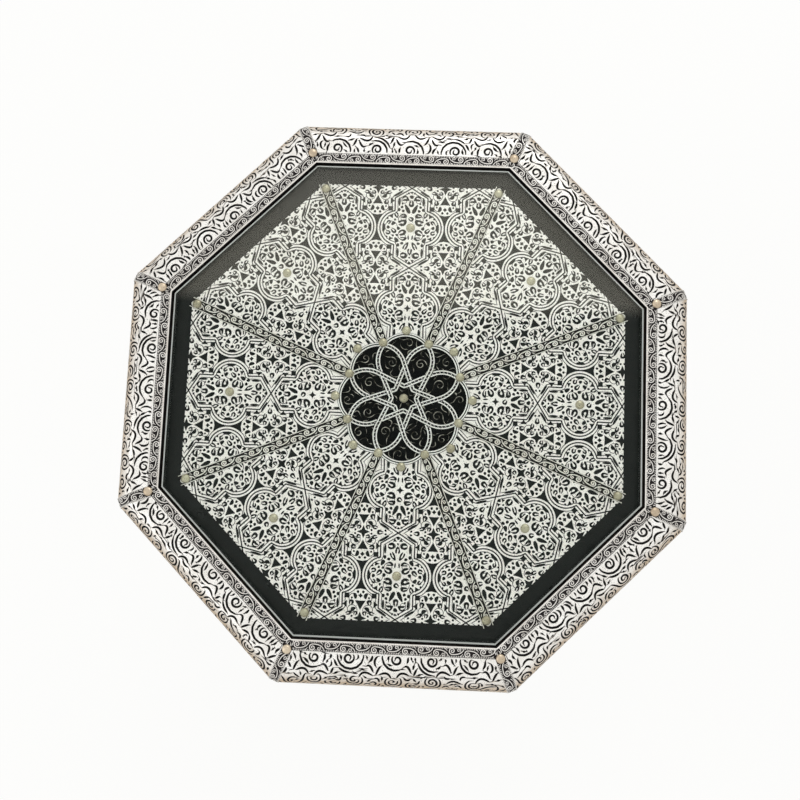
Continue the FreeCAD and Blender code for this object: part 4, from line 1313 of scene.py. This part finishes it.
def make_side_sheets():
    """Engraved sheet on the outside of each side board, with a plain frame line round its scrolls."""
    half, top = BASE * TAN - 0.8, BASE_TOP - 0.3
    outline = np.vstack([whole_arch(0.4, FOOT), [(-half, FOOT), (-half, top), (half, top), (half, FOOT)]])
    reach, high_edge = half - CORNER_WIDTH - 3.5, top - CLEAR_FOOT
    ground = np.vstack([whole_arch(TRIM + 3, CLEAR_FOOT), [(-reach, CLEAR_FOOT), (-reach, high_edge),
                                                           (reach, high_edge), (reach, CLEAR_FOOT)]])
    work = Engraving((-half, 10), (half, top), lambda spots: inside(spots, ground), SPACING + 0.3, LINE, 12)
    for row in range(5):
        for column in range(-2, 3):
            centre = np.array([(column + 0.5 * (row % 2)) * 29, top - 26 - row * 31])
            centre += work.random.normal(size=2) * 1.8
            work.curl(centre, 7 + 4.5 * work.random.random(), 1 if (row + column) % 2 else -1,
                      work.random.random() * 360)
    for row in range(9):
        for side in (-1, 1):
            work.curl(np.array([side * 57.5, 28 + row * 23]), 5.6, side * (1 if row % 2 else -1), 90 * row)
    work.fill(9000, 13, 0.07)
    work.spacing *= CLOSER
    work.fill(9000, 7, 0.13)
    line_x, line_top = reach + 2, top - 9.5
    frame_lines = [[(-line_x, line_top), (line_x, line_top)]]
    frame_lines += [[(side * line_x, 8), (side * line_x, line_top)] for side in (-1, 1)]
    strokes = work.strokes + [engraved(resampled(line, 4), 1.2, tip=1) for line in frame_lines]
    part = relief(outline, strokes, on_side(SIDE_SHEET), SIDE_SHEET)
    for side in range(SIDES):
        piece_on(side, "side_sheet", part, SHEET)


def make_arch_trims():
    """A vine strip round each arch, mitred at its point, and sheet lining the cut edge of the board."""
    lift = SIDE_SHEET + VINE_SHEET
    inner, outer = half_arch(0.3, FOOT), half_arch(0.3 + TRIM, FOOT)
    bend, length = along(half_arch(0.3 + TRIM / 2, FOOT))
    strokes = [stroke.moved(bend) for stroke in strip_strokes(length, TRIM / 2 - 0.3)]
    right = relief(np.vstack([inner, outer[::-1]]), strokes, on_side(lift), VINE_SHEET, base_tone=0.0)
    new_piece("arch_vines", all_round(joined(right, flipped(right, (1, -1, 1)))), VINE)

    rim, bore = whole_arch(0, FOOT), whole_arch(-0.5, FOOT)
    front, back = BASE + lift + 0.4, BASE_INNER
    rows = [(rim, back), (bore, back), (bore, front), (rim, front)]
    spots = np.vstack([np.column_stack([np.full(len(row), x), row]) for row, x in rows])
    count, faces = len(rim), []
    for row in range(4):
        a, b = row * count, (row + 1) % 4 * count
        faces += [(a + i, a + i + 1, b + i + 1, b + i) for i in range(count - 1)]
    faces += [(0, count, 2 * count, 3 * count), tuple(i * count - 1 for i in (4, 3, 2, 1))]
    new_piece("arch_linings", all_round((spots, faces, np.ones(len(spots)))), SHEET)


def make_corner_vines():
    """Vine strips bent over the base's upright edges."""
    top, wide = BASE_TOP - 0.2, CORNER_WIDTH
    length, lift = top - FOOT, SIDE_SHEET + 0.3
    sine = math.sin(HALF)

    def place(x, y, h):
        """x up the edge and y across it, folded at zero."""
        reach = (BASE + lift) / COS - np.abs(y) * sine + h * COS
        across = y * COS + np.sign(y) * h * sine
        return np.stack([reach, across, x + (FOOT + top) / 2], axis=1)

    strokes = []
    for side in (-1, 1):
        strokes += [stroke.moved(lambda spots, side=side: spots * [side, side] + [0, side * wide / 2])
                    for stroke in strip_strokes(length)]
    fold = np.array([(-length / 2, 0), (length / 2, 0)])
    strokes.append(rib(fold, 0.9, flank=0.2))
    outline = rectangle(-length / 2, length / 2, -wide, wide)[::-1]
    part = flipped(relief(outline, strokes, place, VINE_SHEET, lines=[fold], base_tone=0.0))
    new_piece("corner_vines", all_round(part, HALF), VINE, replaces=["corner_strips"])


def make_base_nails():
    """Small domed nails along the strips on the base."""
    half = BASE * TAN - CORNER_WIDTH - 2.2
    places = [(side * half, 24 + row * 38.4) for row in range(12) for side in (-1, 1)]
    places += [tuple(spot) for spot in resampled(whole_arch(TRIM + 2.6, 30), 38)]
    places += [(x, BASE_TOP - 5) for x in (-46, -23, 0, 23, 46)]
    head, faces, tones = dome(2.1, 1.3, 16, 5)
    parts = [(head[:, [2, 0, 1]] + [BASE + SIDE_SHEET, x, y], faces, tones) for x, y in places]
    new_piece("base_nail_heads", all_round(joined(*parts)), NAIL)


def make_screws():
    """Slotted screws that hold the top, driven up through the battens: two in each, with domed heads."""
    radius, head, spread = 3.4, 1.4, 30
    angles = np.linspace(0, math.tau, 24, endpoint=False)
    circle = radius * np.stack([np.cos(angles), np.sin(angles)], axis=1)
    foot, reach = low("top_cleats")[2], -low("top_cleats")[0] - 10

    def place(x, y, h):
        bulge = 1.5 * np.sqrt(np.clip(1.1 - (x**2 + y**2) / radius**2, 0, 1))
        return np.stack([reach + x, y, foot - 0.2 - np.where(h < -1.2, 0.2 + h + head, bulge + h)], axis=1)

    slot = Stroke([(-3.3, 0), (3.3, 0)], 0.45, -0.8, 0.08)
    lines = [looped(circle * share) for share in (0.25, 0.5, 0.75)]
    spots, faces, tones = flipped(relief(circle, [slot], place, head, lines=lines))
    pair = [(spots + [0, y, 0], faces, tones) for y in (-spread, spread)]
    new_piece("batten_screws", all_round(joined(*pair)), NAIL)


def dress_frame():
    """Materials of the CAD pieces that stay."""
    for name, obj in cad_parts.items():
        if name.startswith(("side_board", "corner_blocks")):
            finish_node(obj, WOOD_UPRIGHT)
        elif name.startswith(("frame_rail", "top_cleats")):
            finish_node(obj, WOOD_ROUND)
        elif name == "top_board":
            finish_node(obj, BOARD)
        else:
            finish_node(obj, SILVER)


def finish_node(obj, material):
    obj.data.materials.clear()
    obj.data.materials.append(material)


# Studio. The ceiling's lit part starts at this slope towards +Y, as seen in the glass.
CEILING_EDGE = 0.205


def make_studio():
    mesh = bpy.data.meshes.new("floor")
    mesh.from_pydata([(-3, -3, 0), (3, -3, 0), (3, 3, 0), (-3, 3, 0)], [], [(0, 1, 2, 3)])
    floor = bpy.data.objects.new("floor", mesh)
    bpy.context.scene.collection.objects.link(floor)
    made, tree, shader = new_material("floor_paper", {"Roughness": 0.9, "Specular IOR Level": 0.1})
    paper = noise(tree, place_node(tree), 3.0)
    white = mix(tree, paper, colour(253, 253, 251), colour(250, 250, 248))
    tree.links.new(white, shader.inputs["Base Color"])
    glow = node(tree, "ShaderNodeEmission", {"Color": (1, 1, 0.99, 1), "Strength": 1.0})
    mix_surfaces(tree, times(tree, seen_ray(tree), 0.9), shader, glow)
    mesh.materials.append(made)

    world = bpy.data.worlds.new("studio")
    bpy.context.scene.world = world
    world.use_nodes = True
    tree = world.node_tree
    set_inputs(tree, tree.nodes["Background"], {"Strength": between(tree, seen_ray(tree), 0, 1, 0.72, 1.0),
                                                "Color": ceiling(tree)})
    lamp("key", (0.35, 1.7, 1.9), 1.2, 11)
    lamp("fill", (-1.6, -0.6, 1.6), 1.4, 4)


def ceiling(tree):
    """White, with a dim ceiling overhead that only the sharp reflections in the glass show."""
    path = node(tree, "ShaderNodeLightPath")
    shallow = worked(tree, "LESS_THAN", path.outputs["Transmission Depth"], 2.5)
    sharp = times(tree, path.outputs["Is Singular Ray"], shallow)
    generated = node(tree, "ShaderNodeTexCoord").outputs["Generated"]
    way = node(tree, "ShaderNodeSeparateXYZ", {"Vector": generated})
    overhead = between(tree, way.outputs["Z"], 0.90, 0.94)
    lit = between(tree, way.outputs["Y"], CEILING_EDGE, CEILING_EDGE + 0.015)
    dim = mix(tree, lit, (0.07, 0.08, 0.075, 1), (1.0, 0.95, 0.8, 1))
    return mix(tree, times(tree, sharp, overhead), (1, 1, 0.99, 1), dim)


def seen_ray(tree):
    """One where the background is seen, straight, in a reflection or through glass."""
    path = node(tree, "ShaderNodeLightPath").outputs
    straight = worked(tree, "MAXIMUM", path["Is Camera Ray"], path["Is Glossy Ray"])
    return worked(tree, "MAXIMUM", straight, path["Is Transmission Ray"])


def lamp(name, spot, size, power):
    data = bpy.data.lights.new(name, "AREA")
    data.shape, data.size, data.energy = "DISK", size, power
    obj = bpy.data.objects.new(name, data)
    bpy.context.scene.collection.objects.link(obj)
    obj.location = spot
    aim = Vector((0, 0, TOP * MM)) - Vector(spot)
    obj.rotation_euler = aim.to_track_quat("-Z", "Y").to_euler()


def make_camera():
    """The photograph's view: straight down, a little turned and tilted, from above the top."""
    tilt, lean, roll = (math.radians(a) for a in (-6.3, -1.38, -2.3))
    spin = Matrix.Rotation(tilt, 3, "X") @ Matrix.Rotation(lean, 3, "Y") @ Matrix.Rotation(roll, 3, "Z")
    offset = Vector((3.1, 2.5, -765.8)) * MM
    data = bpy.data.cameras.new("camera")
    data.sensor_width, data.lens = 36, 39.15
    data.clip_start, data.clip_end = 0.01, 50
    camera = bpy.data.objects.new("camera", data)
    bpy.context.scene.collection.objects.link(camera)
    place = Matrix.Translation(spin.transposed() @ -offset + Vector((0, 0, TOP * MM)))
    camera.matrix_world = place @ spin.transposed().to_4x4()
    bpy.context.scene.camera = camera


bpy.context.scene.view_settings.view_transform = "Standard"
make_camera()
make_studio()
dress_frame()
make_covers()
make_border_strips()
make_mitre_strips()
make_nails()
make_panels()
make_radial_strips()
make_rosette()
make_pane()
make_side_sheets()
make_arch_trims()
make_corner_vines()
make_base_nails()
make_screws()
